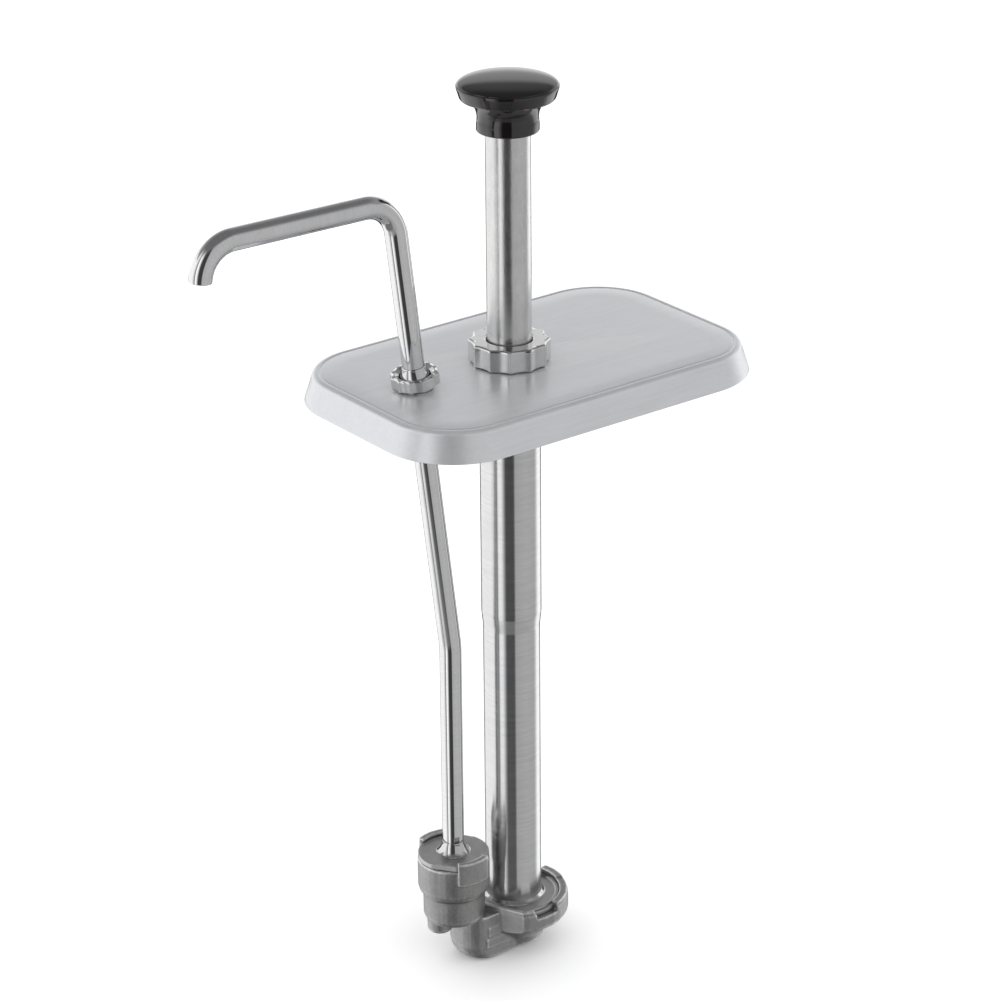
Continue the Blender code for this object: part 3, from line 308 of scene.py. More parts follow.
def buildEdgeGroup():
    # wear and painted edge highlight: Pointiness above its resting 0.5 marks edges, broken up by
    # noise
    group, entry, leave = newGroup(
        "edgeWearAndHighlight",
        [("Vector", "NodeSocketVector", None), ("Spread", "NodeSocketFloat", 0.06),
         ("Scale", "NodeSocketFloat", 300.0)],
        [("Edge", "NodeSocketFloat")])
    geometry = addNode(group, "ShaderNodeNewGeometry")
    top = mathNode(group, "ADD", entry.outputs["Spread"], 0.5)
    edge = mapRange(group, geometry.outputs["Pointiness"], 0.5, top, 0.0, 1.0, True)
    broken = noiseNode(group, entry.outputs["Vector"], entry.outputs["Scale"], 2.0, 0.5)
    wornAndLitEdge = mathNode(group, "MULTIPLY", edge, mapRange(group, broken, 0.3, 0.6, 0.5, 1.0), True)
    group.links.new(wornAndLitEdge, leave.inputs["Edge"])
    return group


groups = {"brush": buildBrushGroup(), "mottle": buildMottleGroup(), "edge": buildEdgeGroup()}


def placeGroup(tree, key, vector, **values):
    node = addNode(tree, "ShaderNodeGroup")
    node.node_tree = groups[key]
    tree.links.new(vector, node.inputs["Vector"])
    for label, value in values.items():
        node.inputs[label.capitalize()].default_value = value
    return node


def mixColour(tree, factor, a, b, blend="MIX"):
    node = addNode(tree, "ShaderNodeMix", data_type="RGBA", blend_type=blend)
    tree.links.new(factor, node.inputs["Factor"])
    colourA = [s for s in node.inputs if s.name == "A" and s.type == "RGBA"][0]
    colourB = [s for s in node.inputs if s.name == "B" and s.type == "RGBA"][0]
    for socket, value in ((colourA, a), (colourB, b)):
        if isinstance(value, tuple):
            socket.default_value = (*value, 1.0)
        else:
            tree.links.new(value, socket)
    return [s for s in node.outputs if s.type == "RGBA"][0]


def startMaterial(name, metallic, space):
    material = bpy.data.materials.new(name)
    material.use_nodes = True
    tree = material.node_tree
    shader = tree.nodes["Principled BSDF"]
    shader.inputs["Metallic"].default_value = metallic
    if space == "object":
        vector = addNode(tree, "ShaderNodeTexCoord").outputs["Object"]
    else:
        vector = addNode(tree, "ShaderNodeAttribute", attribute_name=space).outputs["Vector"]
    return material, tree, shader, vector


def bumpNode(tree, shader, height, strength, distance):
    bump = addNode(tree, "ShaderNodeBump")
    bump.inputs["Strength"].default_value = strength
    bump.inputs["Distance"].default_value = distance
    tree.links.new(height, bump.inputs["Height"])
    tree.links.new(bump.outputs["Normal"], shader.inputs["Normal"])


def metalFinish(name, look, space="grainSpace"):
    # metal: its tone runs between dark and light by the brush lines and the clouds, its
    # roughness likewise, and the lines are the height of a shallow bump
    material, tree, shader, vector = startMaterial(name, look.get("metallic", 1.0), space)
    brush = placeGroup(tree, "brush", vector, stretch=look["stretch"], scale=look["scale"])
    mottle = placeGroup(tree, "mottle", vector, scale=look["mottleScale"])
    lines = mathNode(tree, "MULTIPLY", brush.outputs["Lines"], look["lineShare"])
    broad = mathNode(tree, "MULTIPLY", brush.outputs["Broad"], look["broadShare"])
    clouds = mathNode(tree, "MULTIPLY", mottle.outputs["Clouds"], look["cloudShare"])
    specks = mathNode(tree, "MULTIPLY", mottle.outputs["Specks"], look["speckShare"])
    tone = mathNode(tree, "ADD", mathNode(tree, "ADD", lines, broad),
                    mathNode(tree, "ADD", clouds, specks), True)
    colour = mixColour(tree, tone, look["dark"], look["light"])
    # edges lighten towards edgeColour by edgeGain: partly rubbed wear, partly a painted edge
    # highlight
    edge = placeGroup(tree, "edge", vector, spread=look.get("edgeSpread", 0.05), scale=400.0)
    bright = mathNode(tree, "MULTIPLY", edge.outputs["Edge"], look.get("edgeGain", 0.3))
    colour = mixColour(tree, bright, colour, look.get("edgeColour", (0.85, 0.85, 0.86)))
    tree.links.new(colour, shader.inputs["Base Color"])
    rough = mapRange(tree, tone, 0.0, 1.0, look["rough"][0], look["rough"][1])
    tree.links.new(rough, shader.inputs["Roughness"])
    height = mathNode(tree, "ADD", lines, mathNode(tree, "ADD", clouds, specks))
    bumpNode(tree, shader, height, look["bump"], look["bumpDepth"])
    if "anisotropy" in look:
        # ground round the pipe, so the gloss spreads along it
        shader.inputs["Anisotropic"].default_value = look["anisotropy"]
        shader.inputs["Anisotropic Rotation"].default_value = 0.25
        tangent = addNode(tree, "ShaderNodeTangent", direction_type="RADIAL", axis="Z")
        tree.links.new(tangent.outputs["Tangent"], shader.inputs["Tangent"])
    return material


looks = {
    "tube": {"stretch": (0.25, 0.25, 3.0), "scale": 900.0, "mottleScale": 55.0,
             "lineShare": 0.35, "broadShare": 0.2, "cloudShare": 0.25, "speckShare": 0.2,
             "dark": (0.68, 0.68, 0.685), "light": (0.82, 0.82, 0.825),
             "rough": (0.05, 0.09), "bump": 0.08, "bumpDepth": 0.00003},
    "cylinder": {"stretch": (0.2, 0.2, 3.0), "scale": 900.0, "mottleScale": 55.0,
                 "lineShare": 0.4, "broadShare": 0.35, "cloudShare": 0.2, "speckShare": 0.05,
                 "dark": (0.60, 0.60, 0.605), "light": (0.74, 0.74, 0.745),
                 "rough": (0.17, 0.21), "bump": 0.04, "bumpDepth": 0.00003, "anisotropy": 0.85},
    "plunger": {"stretch": (1.0, 1.0, 0.12), "scale": 1300.0, "mottleScale": 110.0,
                "lineShare": 0.3, "broadShare": 0.15, "cloudShare": 0.25, "speckShare": 0.4,
                "dark": (0.56, 0.555, 0.55), "light": (0.76, 0.755, 0.75),
                "rough": (0.17, 0.27), "bump": 0.5, "bumpDepth": 0.00007, "anisotropy": 0.5},
    "polished": {"stretch": (1.0, 1.0, 0.3), "scale": 700.0, "mottleScale": 80.0,
                 "lineShare": 0.2, "broadShare": 0.1, "cloudShare": 0.4, "speckShare": 0.2,
                 "dark": (0.60, 0.60, 0.60), "light": (0.78, 0.78, 0.78),
                 "rough": (0.02, 0.05), "bump": 0.06, "bumpDepth": 0.00004},
    "lid": {"stretch": (0.03, 1.0, 1.0), "scale": 1800.0, "mottleScale": 30.0,
            "lineShare": 0.5, "broadShare": 0.3, "cloudShare": 0.15, "speckShare": 0.1,
            "dark": (0.58, 0.59, 0.61), "light": (0.68, 0.69, 0.71),
            "rough": (0.31, 0.38), "bump": 0.12, "bumpDepth": 0.00004, "metallic": 0.68,
            "edgeSpread": 0.03, "edgeGain": 0.15},
    "cast": {"stretch": (1.0, 1.0, 1.0), "scale": 700.0, "mottleScale": 90.0,
             "lineShare": 0.3, "broadShare": 0.2, "cloudShare": 0.25, "speckShare": 0.3,
             "dark": (0.26, 0.26, 0.26), "light": (0.44, 0.44, 0.435),
             "rough": (0.36, 0.48), "bump": 0.7, "bumpDepth": 0.0002,
             "edgeSpread": 0.035, "edgeGain": 1.0, "edgeColour": (0.85, 0.85, 0.84)},
    "seat": {"stretch": (1.0, 1.0, 1.0), "scale": 600.0, "mottleScale": 120.0,
             "lineShare": 0.25, "broadShare": 0.2, "cloudShare": 0.3, "speckShare": 0.3,
             "dark": (0.36, 0.36, 0.36), "light": (0.52, 0.52, 0.515),
             "rough": (0.30, 0.42), "bump": 0.4, "bumpDepth": 0.00012,
             "edgeSpread": 0.05, "edgeGain": 0.7},
    "spring": {"stretch": (1.0, 1.0, 1.0), "scale": 500.0, "mottleScale": 60.0,
               "lineShare": 0.4, "broadShare": 0.2, "cloudShare": 0.3, "speckShare": 0.1,
               "dark": (0.45, 0.45, 0.45), "light": (0.6, 0.6, 0.6),
               "rough": (0.2, 0.3), "bump": 0.1, "bumpDepth": 0.00004},
}


def phenolicFinish():
    # knob: near-black brown that reddens with the clouds, and on thin edges by wear and a painted
    # edge highlight, under a clear gloss
    material, tree, shader, vector = startMaterial("darkPhenolic", 0.0, "object")
    mottle = placeGroup(tree, "mottle", vector, scale=45.0)
    edge = placeGroup(tree, "edge", vector, spread=0.07, scale=150.0)
    base = mixColour(tree, mottle.outputs["Clouds"], (0.0022, 0.0018, 0.0020),
                     (0.0048, 0.0026, 0.0028))
    # edges go red-brown: partly wear, partly a painted red edge highlight
    wornAndLitEdge = mapRange(tree, edge.outputs["Edge"], 0.45, 0.9, 0.0, 1.0, True)
    base = mixColour(tree, wornAndLitEdge, base, (0.20, 0.075, 0.055))
    tree.links.new(base, shader.inputs["Base Color"])
    rough = mapRange(tree, mottle.outputs["Specks"], 0.0, 1.0, 0.02, 0.05)
    tree.links.new(rough, shader.inputs["Roughness"])
    shader.inputs["IOR"].default_value = 1.72
    bumpNode(tree, shader, mottle.outputs["Clouds"], 0.04, 0.00006)
    return material


def plasticFinish(name, dark, light, rough):
    # soft plastic or rubber: a tone between dark and light by the clouds, fine specks as bump
    material, tree, shader, vector = startMaterial(name, 0.0, "object")
    mottle = placeGroup(tree, "mottle", vector, scale=120.0)
    colour = mixColour(tree, mottle.outputs["Clouds"], dark, light)
    tree.links.new(colour, shader.inputs["Base Color"])
    tree.links.new(mapRange(tree, mottle.outputs["Specks"], 0.0, 1.0, rough[0], rough[1]),
                   shader.inputs["Roughness"])
    bumpNode(tree, shader, mottle.outputs["Specks"], 0.2, 0.00005)
    return material


finishes = {
    "tube": metalFinish("brushedTube", looks["tube"]),
    "cylinder": metalFinish("groundCylinder", looks["cylinder"]),
    "seat": metalFinish("blastedSeat", looks["seat"]),
    "tubeInside": metalFinish("drawnTube", looks["tube"], "object"),
    "plunger": metalFinish("plungerSteel", looks["plunger"]),
    "polished": metalFinish("polishedSteel", looks["polished"]),
    "ball": metalFinish("polishedBall", looks["polished"], "object"),
    "lid": metalFinish("satinSheet", looks["lid"], "object"),
    "cast": metalFinish("blastedCasting", looks["cast"], "object"),
    "spring": metalFinish("springWire", looks["spring"], "object"),
    "phenolic": phenolicFinish(),
    "rubber": plasticFinish("sealRubber", (0.018, 0.018, 0.019), (0.035, 0.035, 0.036),
                            (0.5, 0.65)),
    "acetal": plasticFinish("whiteAcetal", (0.70, 0.70, 0.67), (0.80, 0.80, 0.78),
                            (0.35, 0.5)),
}
print("finishes made:", len(finishes))


# carried-over nodes take finishes by the record's slots
slotFinish = {"stainless_tube": "tubeInside", "polished_stainless": "ball", "satin_sheet": "lid",
              "blasted_casting": "cast", "dark_phenolic": "phenolic", "seal_rubber": "rubber",
              "white_acetal": "acetal", "spring_wire": "spring"}
nodeSlot = {part["node"]: part["material_slot"] for part in frame["record"]["subparts"]}
for nodeName, node in frame["nodes"].items():
    finish = finishes[slotFinish[nodeSlot[nodeName]]]
    for holder in node.material_slots:
        holder.material = finish
print("finishes on carried-over nodes")


knob = {"rim": 28.6, "dome": 5.2, "rimHeight": 25.9, "bandFoot": 18.4, "bandRadius": 26.8,
        "neckTop": 20.6, "neckTopHeight": 16.6, "neck": 17.1, "neckHeight": 6.5,
        "foot": 17.5, "socket": 13.0, "socketDepth": 4.0, "hole": 5.1, "holeTop": 21.1}


def buildKnob():
    # dome: radius rim * sin a, height rimHeight + dome * cos a; then a rolled rim, a band that
    # narrows, an undercut, a hollow neck r = neck + (neckTop - neck) * (1 - t) ^ 2.4, a base band
    k = knob
    a = np.linspace(0.02, math.pi / 2 - 0.06, 30)
    domeLine = np.stack([(k["rim"] - 0.5) * np.sin(a), k["rimHeight"] + k["dome"] * np.cos(a)], 1)
    rimLine = smoothProfile([domeLine[-1], (k["rim"], k["rimHeight"] - 0.1),
                             (k["rim"] - 0.15, k["rimHeight"] - 1.3),
                             (k["bandRadius"], k["bandFoot"] + 0.8),
                             (k["bandRadius"] - 0.7, k["bandFoot"]),
                             (k["neckTop"] + 0.4, k["neckTopHeight"] + 0.5)],
                            [0.5, 0.5, 0.6, 0.7], 5)[1:]
    t = np.linspace(0, 1, 22)
    neckLine = np.stack([k["neck"] + (k["neckTop"] - k["neck"]) * (1 - t) ** 2.4,
                         k["neckTopHeight"] + (k["neckHeight"] - k["neckTopHeight"]) * t], 1)
    under = smoothProfile([(k["neck"], k["neckHeight"]), (k["foot"], k["neckHeight"] - 0.9),
                           (k["foot"], 0.0), (k["socket"], 0.0),
                           (k["socket"], k["socketDepth"]), (k["hole"], k["socketDepth"]),
                           (k["hole"], k["holeTop"]), (0.01, k["holeTop"])],
                          [0.7, 0.7, 0.4, 0.2, 0.2, 0.2], 4)[1:]
    line = np.vstack([domeLine, rimLine, neckLine, under])
    line = line * mm
    line[:, 1] += dims("knob")[0][2]
    return roundPiece("knobCap", line, pump["axisX"], "plunger", ["knob"],
                      finishes["phenolic"], closed=False, steps=160)


buildKnob()


plunger = {"wall": 1.2, "edge": 0.2}


def buildPlunger():
    # a plain pipe, r(s) = radius outside and radius - wall inside, with rounded ends
    top, foot = highPlunger[2], lowPlunger[2]
    outer = pump["plungerRadius"]
    inner = outer - plunger["wall"] * mm
    line = smoothProfile([(inner, top), (outer, top), (outer, foot), (inner, foot)],
                         [plunger["edge"] * mm] * 4, 3)
    line = refine(line, 12 * mm, True)
    return roundPiece("plungerPipe", line, pump["axisX"], "plunger", ["plunger_tube"],
                      finishes["plunger"], steps=128)


buildPlunger()


collar = {"radius": 23.5, "flutes": 12, "turn": math.radians(24.1), "depth": 1.9, "chamfer": 0.9,
          "hole": 13.3, "cap": 2.5, "bore": 17.3, "lip": 0.8, "steps": 288}
spoutNut = {"radius": 14.05, "flutes": 12, "turn": math.radians(12.5), "depth": 1.15, "chamfer": 0.5,
            "mouth": 8.85, "cap": 2.3, "bore": 9.65, "flare": 11.0, "height": 7.5, "clear": 0.6,
            "steps": 240}
ferrule = {"bore": 6.62, "edge": 0.06, "wall": 1.95, "height": 6.0, "swell": 1.9}
# the nut's foot clears the lid on its low side
spoutNut["foot"] = spoutNut["radius"] * math.sin(pump["tilt"]) + spoutNut["clear"]


def fluteShape(settings):
    # r(u) = r - depth * hollow(u) * side(s): hollow = |sin(flutes (u - turn) / 2)| ^ 0.8, which
    # leaves narrow ridges, and side is 1 on the outer wall and fades to 0 inwards on both ends
    outer = settings["radius"] * mm
    depth = settings["depth"] * mm

    def shape(r, z, u):
        hollow = np.abs(np.sin(settings["flutes"] * (u - settings["turn"]) / 2)) ** 0.8
        side = np.clip((r - outer * 0.86) / (outer * 0.10), 0, 1)
        side = side * side * (3 - 2 * side)
        return r - depth * hollow * side, z + 0 * u
    return shape


def buildCollar():
    # r(u, s) = fluted profile(s): grip wall, rounded shoulders, a cap with a hole for the
    # plunger, and the bore that stands for the thread
    c = collar
    low, high = dims("lock_collar")
    top, foot = high[2] / mm, low[2] / mm
    line = smoothProfile([(c["hole"], top - 0.5), (c["hole"] + c["lip"], top),
                          (c["radius"] - c["chamfer"], top),
                          (c["radius"], top - c["chamfer"]), (c["radius"], foot + 0.9),
                          (c["radius"] - 0.9, foot), (c["bore"], foot), (c["bore"], top - c["cap"]),
                          (c["hole"], top - c["cap"])],
                         [0.2, 0.6, 1.2, 1.2, 0.6, 0.6, 0.3, 0.3, 0.2], 6)
    line = refine(line * mm, 1.2 * mm, True)
    return roundPiece("collarGrip", line, pump["axisX"], "pump_body", ["lock_collar"],
                      finishes["polished"], steps=c["steps"],
                      shape=fluteShape(c))


buildCollar()


def buildSpoutNut():
    # the same grip ring on the tube's tilted axis, with a flared mouth round the ferrule
    c = spoutNut
    foot = c["foot"]
    top = foot + c["height"]
    line = smoothProfile([(c["mouth"], top - 1.5), (c["flare"], top),
                          (c["radius"] - c["chamfer"] - 0.4, top),
                          (c["radius"], top - c["chamfer"] - 0.4), (c["radius"], foot + 0.6),
                          (c["radius"] - 0.7, foot), (c["bore"], foot), (c["bore"], top - c["cap"]),
                          (c["mouth"], top - c["cap"])],
                         [0.3, 0.5, 0.8, 0.8, 0.4, 0.4, 0.2, 0.2, 0.1], 5)
    line = refine(line * mm, 0.9 * mm, True)
    return roundPiece("spoutGrip", line, pump["spoutHoleX"], "pump_body", ["spout_nut"],
                      finishes["polished"], steps=c["steps"],
                      shape=fluteShape(c), tilt=pump["tilt"])


def buildFerrule():
    # a cone that swells towards the nut: r = bore + wall * (1 - t) ^ swell from foot to top
    f = ferrule
    foot = spoutNut["foot"] + spoutNut["height"] - spoutNut["cap"] + 0.3
    t = np.linspace(0, 1, 9)
    swell = f["bore"] + f["edge"] + (f["wall"] - f["edge"]) * (1 - t) ** f["swell"]
    outside = np.stack([swell, foot + f["height"] * t], 1)[::-1]
    line = np.vstack([[(f["bore"], foot + f["height"])], outside, [(f["bore"], foot)]]) * mm
    return roundPiece("spoutCone", line, pump["spoutHoleX"], "pump_body", ["spout_ferrule"],
                      finishes["polished"], steps=96, tilt=pump["tilt"])


buildSpoutNut()
buildFerrule()
print("grips made")


lid = {"length": 244.0, "width": 155.5, "corner": 44.5, "sheet": 1.2, "depth": 17.0, "taper": 4.2,
       "edgeRadius": 3.4, "lip": 1.6, "beadInset": 2.2, "beadDepth": 0.45, "cornerSteps": 28,
       "hemSoft": 0.12, "hemRise": 0.25, "collarHole": 17.4, "spoutHole": 9.7}


def outlineRing(inset, z, steps):
    # rounded rectangle: four quarter arcs about the corners' centres, joined by straight sides
    l = lid
    radius = l["corner"] - inset
    quarter = np.linspace(0, math.pi / 2, steps + 1)
    ring = []
    for k, (sx, sy) in enumerate(((1, 1), (-1, 1), (-1, -1), (1, -1))):
        a = quarter + k * math.pi / 2
        x = sx * (l["length"] / 2 - l["corner"]) + radius * np.cos(a)
        y = sy * (l["width"] / 2 - l["corner"]) + radius * np.sin(a)
        ring.append(np.stack([x, y, np.full_like(a, z)], 1))
        nx, ny = ((-1, 1), (-1, -1), (1, -1), (1, 1))[k]
        endX = nx * (l["length"] / 2 - l["corner"]) + radius * math.cos(a[-1])
        endY = ny * (l["width"] / 2 - l["corner"]) + radius * math.sin(a[-1])
        share = np.linspace(0, 1, 12)[1:-1]
        start = ring[-1][-1]
        side = start[None, :] + (np.array([endX, endY, z]) - start)[None, :] * share[:, None]
        ring.append(side)
    return np.vstack(ring)


def lidLine(offset):
    # (inset, height) down the pan's wall, offset inwards by the sheet: flat, a shallow bead,
    # the rounded edge, a wall that leans out, and a lip that kicks out at the foot
    l = lid
    top = pump["lidTop"] / mm - offset
    r = l["edgeRadius"] - offset * 0.8
    lean = math.atan2(l["taper"] - l["lip"], l["depth"] - l["edgeRadius"])
    inset0 = l["taper"] + offset
    pts = [(inset0 + r + 14, top)]
    for t in np.linspace(0, 1, 9):
        dip = l["beadDepth"] * math.sin(math.pi * t) ** 2
        pts.append((inset0 + r + l["beadInset"] * (1 - t) + 0.4, top - dip))
    for t in np.linspace(0, 1, 10):
        a = (math.pi / 2 - lean) * t
        pts.append((inset0 + r * (1 - math.sin(a)), top - r * (1 - math.cos(a))))
    foot = pump["lidTop"] / mm - l["depth"]
    pts.append((l["lip"] + 1.1 + offset, foot + l["depth"] * 0.55))
    for t in np.linspace(0, 1, 7):
        kick = l["lip"] * (1 - t) ** 1.6
        pts.append((kick + offset, foot + l["depth"] * 0.32 * (1 - t)))
    return pts


def buildLid():
    # rings of the outer face from the flat down to the foot, then of the inner face back up
    outer = lidLine(0.0)
    inner = lidLine(lid["sheet"])[::-1]
    steps = lid["cornerSteps"]
    foot = outer[-1][1]
    soft = lid["hemSoft"]
    hem = [(soft, foot), (lid["sheet"] * 0.5, foot), (lid["sheet"] - soft, foot)]
    outer[-1] = (outer[-1][0], foot + lid["hemRise"])
    inner[0] = (inner[0][0], foot + lid["hemRise"])
    rings = [outlineRing(i, z, steps) for i, z in outer + hem + inner]
    cols = len(rings[0])
    points = np.vstack(rings) * mm
    faces = gridFaces(len(rings), cols, False)
    topFace = tuple(range(cols))
    lastStart = (len(rings) - 1) * cols
    underFace = tuple(range(lastStart + cols - 1, lastStart - 1, -1))
    faces += [topFace, underFace]
    piece = makeObject("lidPan", points, faces, "pump_body", ["lid"], finishes["lid"])
    drills = [(pump["axisX"], lid["collarHole"], 0.0),
              (pump["spoutHoleX"], lid["spoutHole"], pump["tilt"])]
    for x, radius, lean in drills:
        drill = bmesh.new()
        bmesh.ops.create_cone(drill, cap_ends=True, segments=96, radius1=radius * mm,
                              radius2=radius * mm, depth=0.02)
        turn = Matrix.Translation((x, 0.0, pump["lidTop"])) @ Matrix.Rotation(-lean, 4, "Y")
        bmesh.ops.transform(drill, matrix=turn, verts=drill.verts)
        mesh = bpy.data.meshes.new("drill")
        drill.to_mesh(mesh)
        drill.free()
        bit = bpy.data.objects.new("drill", mesh)
        bpy.context.scene.collection.objects.link(bit)
        cutIt = piece.modifiers.new("hole", "BOOLEAN")
        cutIt.solver = "EXACT"
        cutIt.object = bit
        bpy.context.view_layer.update()
        graph = bpy.context.evaluated_depsgraph_get()
        cutMesh = bpy.data.meshes.new_from_object(piece.evaluated_get(graph))
        piece.modifiers.clear()
        piece.data = cutMesh
        bpy.data.objects.remove(bit)
    piece.data.shade_smooth()
    sharpen(piece, 40)
    return piece


buildLid()
print("lid made")


tube = {"radius": 6.35, "wall": 1.0, "armZ": 112.3, "armRise": 1.9, "spoutX": -216.5,
        "spoutDrop": 19.6, "spoutLean": 2.5, "footBend": 60.0, "topBend": 21.0,
        "spoutBend": 20.5, "bendStep": math.radians(2.5), "steps": 72, "lipRings": 9}


def bentLine(corners, radii):
    # straight stretches with an arc of the given radius at each inner corner
    pts = [np.array(corners[0], float)]
    for before, corner, after, radius in zip(corners, corners[1:], corners[2:], radii):
        p = np.array(corner, float)
        back = np.array(before, float) - p
        on = np.array(after, float) - p
        back, on = back / np.linalg.norm(back), on / np.linalg.norm(on)
        turn = math.pi - math.acos(np.clip(back @ on, -1, 1))
        mid = (back + on) / np.linalg.norm(back + on)
        centre = p + mid * radius / math.cos(turn / 2)
        start = p + back * radius * math.tan(turn / 2) - centre
        a = np.linspace(0, turn, max(4, int(turn / tube["bendStep"])))[:, None]
        pts.extend(list(centre + start * np.cos(a) - back * radius * np.sin(a)))
    pts.append(np.array(corners[-1], float))
    return np.array(pts)


def buildTube():
    # pipe(u, s) = line(s) + r (cos u * side(s) + sin u * Y): side is the line's normal in its
    # plane, and r runs down the outside, round the lip and back up the inside
    t = tube
    footZ = dims("discharge_tube")[0][2] / mm
    cornerX = pump["tubeX"] / mm - math.tan(pump["tilt"]) * (t["armZ"] - pump["bendZ"] / mm)
    endZ = t["armZ"] + t["armRise"]
    tubeX = pump["tubeX"] / mm
    corners = [(tubeX, footZ), (tubeX, pump["bendZ"] / mm), (cornerX, t["armZ"]),
               (t["spoutX"] + t["spoutLean"], endZ), (t["spoutX"], endZ - t["spoutDrop"])]
    line = bentLine(corners, (t["footBend"], t["topBend"], t["spoutBend"]))
    line = refine(line, 6.0)
    way = np.gradient(line, axis=0)
    way = way / np.linalg.norm(way, axis=1)[:, None]
    side = np.stack([-way[:, 1], way[:, 0]], 1)
    length = np.concatenate([[0], np.cumsum(np.linalg.norm(np.diff(line, axis=0), axis=1))])
    steps, rings = t["steps"], t["lipRings"]
    u = np.arange(steps) / steps * tau
    r, w = t["radius"], t["wall"]
    # the mouth's lip is rounded by a few rings of its own
    lipTurn = np.linspace(0, math.pi, rings)
    lipR = r - w / 2 + w / 2 * np.cos(lipTurn)
    lipS = w / 2 * (np.sin(lipTurn) - 1)
    last = len(line) - 1
    index = np.concatenate([np.arange(last), np.full(rings, last), np.arange(last)[::-1]])
    radius = np.concatenate([np.full(last, r), lipR, np.full(last, r - w)])
    shift = np.concatenate([np.zeros(last), lipS, np.zeros(last)])
    base = line[index] + way[index] * shift[:, None]
    x = base[:, :1] + radius[:, None] * np.cos(u) * side[index][:, :1]
    z = base[:, 1:] + radius[:, None] * np.cos(u) * side[index][:, 1:]
    y = radius[:, None] * np.sin(u) + 0 * x
    points = np.stack([x, y, z], -1).reshape(-1, 3) * mm
    along = np.broadcast_to(length[index][:, None], x.shape)
    grain = np.stack([radius[:, None] * np.cos(u), y, along], -1).reshape(-1, 3) * mm
    faces = gridFaces(len(index), steps, True)
    return makeObject("dischargePipe", points, faces, "pump_body", ["discharge_tube"],
                      finishes["tube"], grain)


buildTube()

tubeFlange = {"radius": 21.0, "thick": 3.0, "flat": 19.4, "turn": math.radians(36.5), "hub": 10.15,
              "hole": 6.38, "flatsBeyond": 15.0}


def flatShape(turn, distance, inside):
    # r(u) = min(r, distance / |cos(u - turn)|) where r is beyond inside: two flats on a disc
    def shape(r, z, u):
        flat = distance / np.maximum(np.abs(np.cos(u - turn)), 1e-3)
        return np.where(r > inside, np.minimum(r, flat), r), z + 0 * u
    return shape


def buildTubeFlange():
    # disc with rounded rim, and a hub that flares down to it: r = top + (foot - top)(1 - t)^2.2
    f = tubeFlange
    low, high = dims("tube_flange")
    foot = low[2] / mm
    top = foot + f["thick"]
    t = np.linspace(0, 1, 12)
    flare = np.stack([f["hole"] + 0.04 + (f["hub"] - f["hole"] - 0.04) * (1 - t) ** 2.2,
                      top + (high[2] / mm - top) * t], 1)[::-1]
    rim = smoothProfile([(f["hub"] + 0.3, top), (f["radius"], top), (f["radius"], foot),
                         (f["hole"], foot)], [0.6, 0.5], 5)
    line = np.vstack([[(f["hole"], high[2] / mm)], flare, refine(rim, 1.2)]) * mm
    piece = roundPiece("tubeSeat", line, pump["tubeX"], "pump_body", ["tube_flange"],
                       finishes["seat"], steps=180,
                       shape=flatShape(f["turn"], f["flat"] * mm, f["flatsBeyond"] * mm))
    finishInside(piece, (f["hub"] + 0.2) * mm, pump["tubeX"], finishes["polished"])
    return piece


buildTubeFlange()


cylinder = {"wall": 1.2, "stepHeight": 9.0, "stepRadii": (5.0, 16.0), "boreRadius": 8.0}
cylinderFlange = {"turn": math.radians(-154.0), "flat": 22.5, "flatsBeyond": 20.0, "fillet": 2.4,
                  "rimInside": 24.6, "rimOutside": 27.1, "rimRise": 1.1}


def buildCylinder():
    # two pipes of unlike radius, r(s) = upper, then lower, joined by a swaged cone whose
    # corners are arcs; outside down and inside up
    c = cylinder
    upper = pump["cylinderRadius"] / mm
    lower = upper - pump["cylinderStep"] / mm
    top, foot = highCylinder[2] / mm, lowCylinder[2] / mm
    stepTop = dims("spring_seat_washer")[0][2] / mm - 0.3
    stepFoot = stepTop - c["stepHeight"]
    line = smoothProfile([(upper - c["wall"], top), (upper, top), (upper, stepTop),
                          (lower, stepFoot),
                          (lower, foot), (lower - c["wall"], foot), (lower - c["wall"], stepFoot),
                          (upper - c["wall"], stepTop)],
                         [0.3, 0.3, *c["stepRadii"], 0.3, 0.3, c["boreRadius"], c["boreRadius"]],
                         8)
    line = refine(line * mm, 8 * mm, True)
    return roundPiece("cylinderPipe", line, pump["axisX"], "pump_body", ["cylinder"],
                      finishes["cylinder"], steps=160)


def buildCylinderFlange():
    # r(u, s) = profile(s) cut by two flats: a disc with a raised ring near its rim, and a
    # bright fillet up the cylinder
    f = cylinderFlange
    low, high = dims("cylinder_flange")
    radius = (high[1] - low[1]) / 2 / mm
    hole = (pump["cylinderRadius"] - pump["cylinderStep"]) / mm + 0.03
    top, foot = high[2] / mm, low[2] / mm
    ridge = top + f["rimRise"]
    line = smoothProfile([(hole, top + f["fillet"]), (hole + 0.35, top + 2.0), (hole + 2.2, top),
                          (f["rimInside"], top + 0.1), (f["rimInside"] + 1.0, ridge),
                          (f["rimOutside"] - 0.2, ridge), (f["rimOutside"], top),
                          (radius, top), (radius, foot), (hole, foot)],
                         [0.1, 0.1, f["fillet"], 0.6, 0.5, 0.3, 0.1, 0.5, 0.5, 0.1], 5)
    line = refine(line * mm, 1.2 * mm, True)
    piece = roundPiece("cylinderSeat", line, pump["axisX"], "pump_body", ["cylinder_flange"],
                       finishes["seat"], steps=180,
                       shape=flatShape(f["turn"], f["flat"] * mm, f["flatsBeyond"] * mm))
    finishInside(piece, (hole + 2.6) * mm, pump["axisX"], finishes["polished"])
    return piece


buildCylinder()
buildCylinderFlange()
print("pipes made")


spring = {"wire": 1.0, "turns": 13, "ringsPerTurn": 28, "steps": 14, "pressed": 0.205}


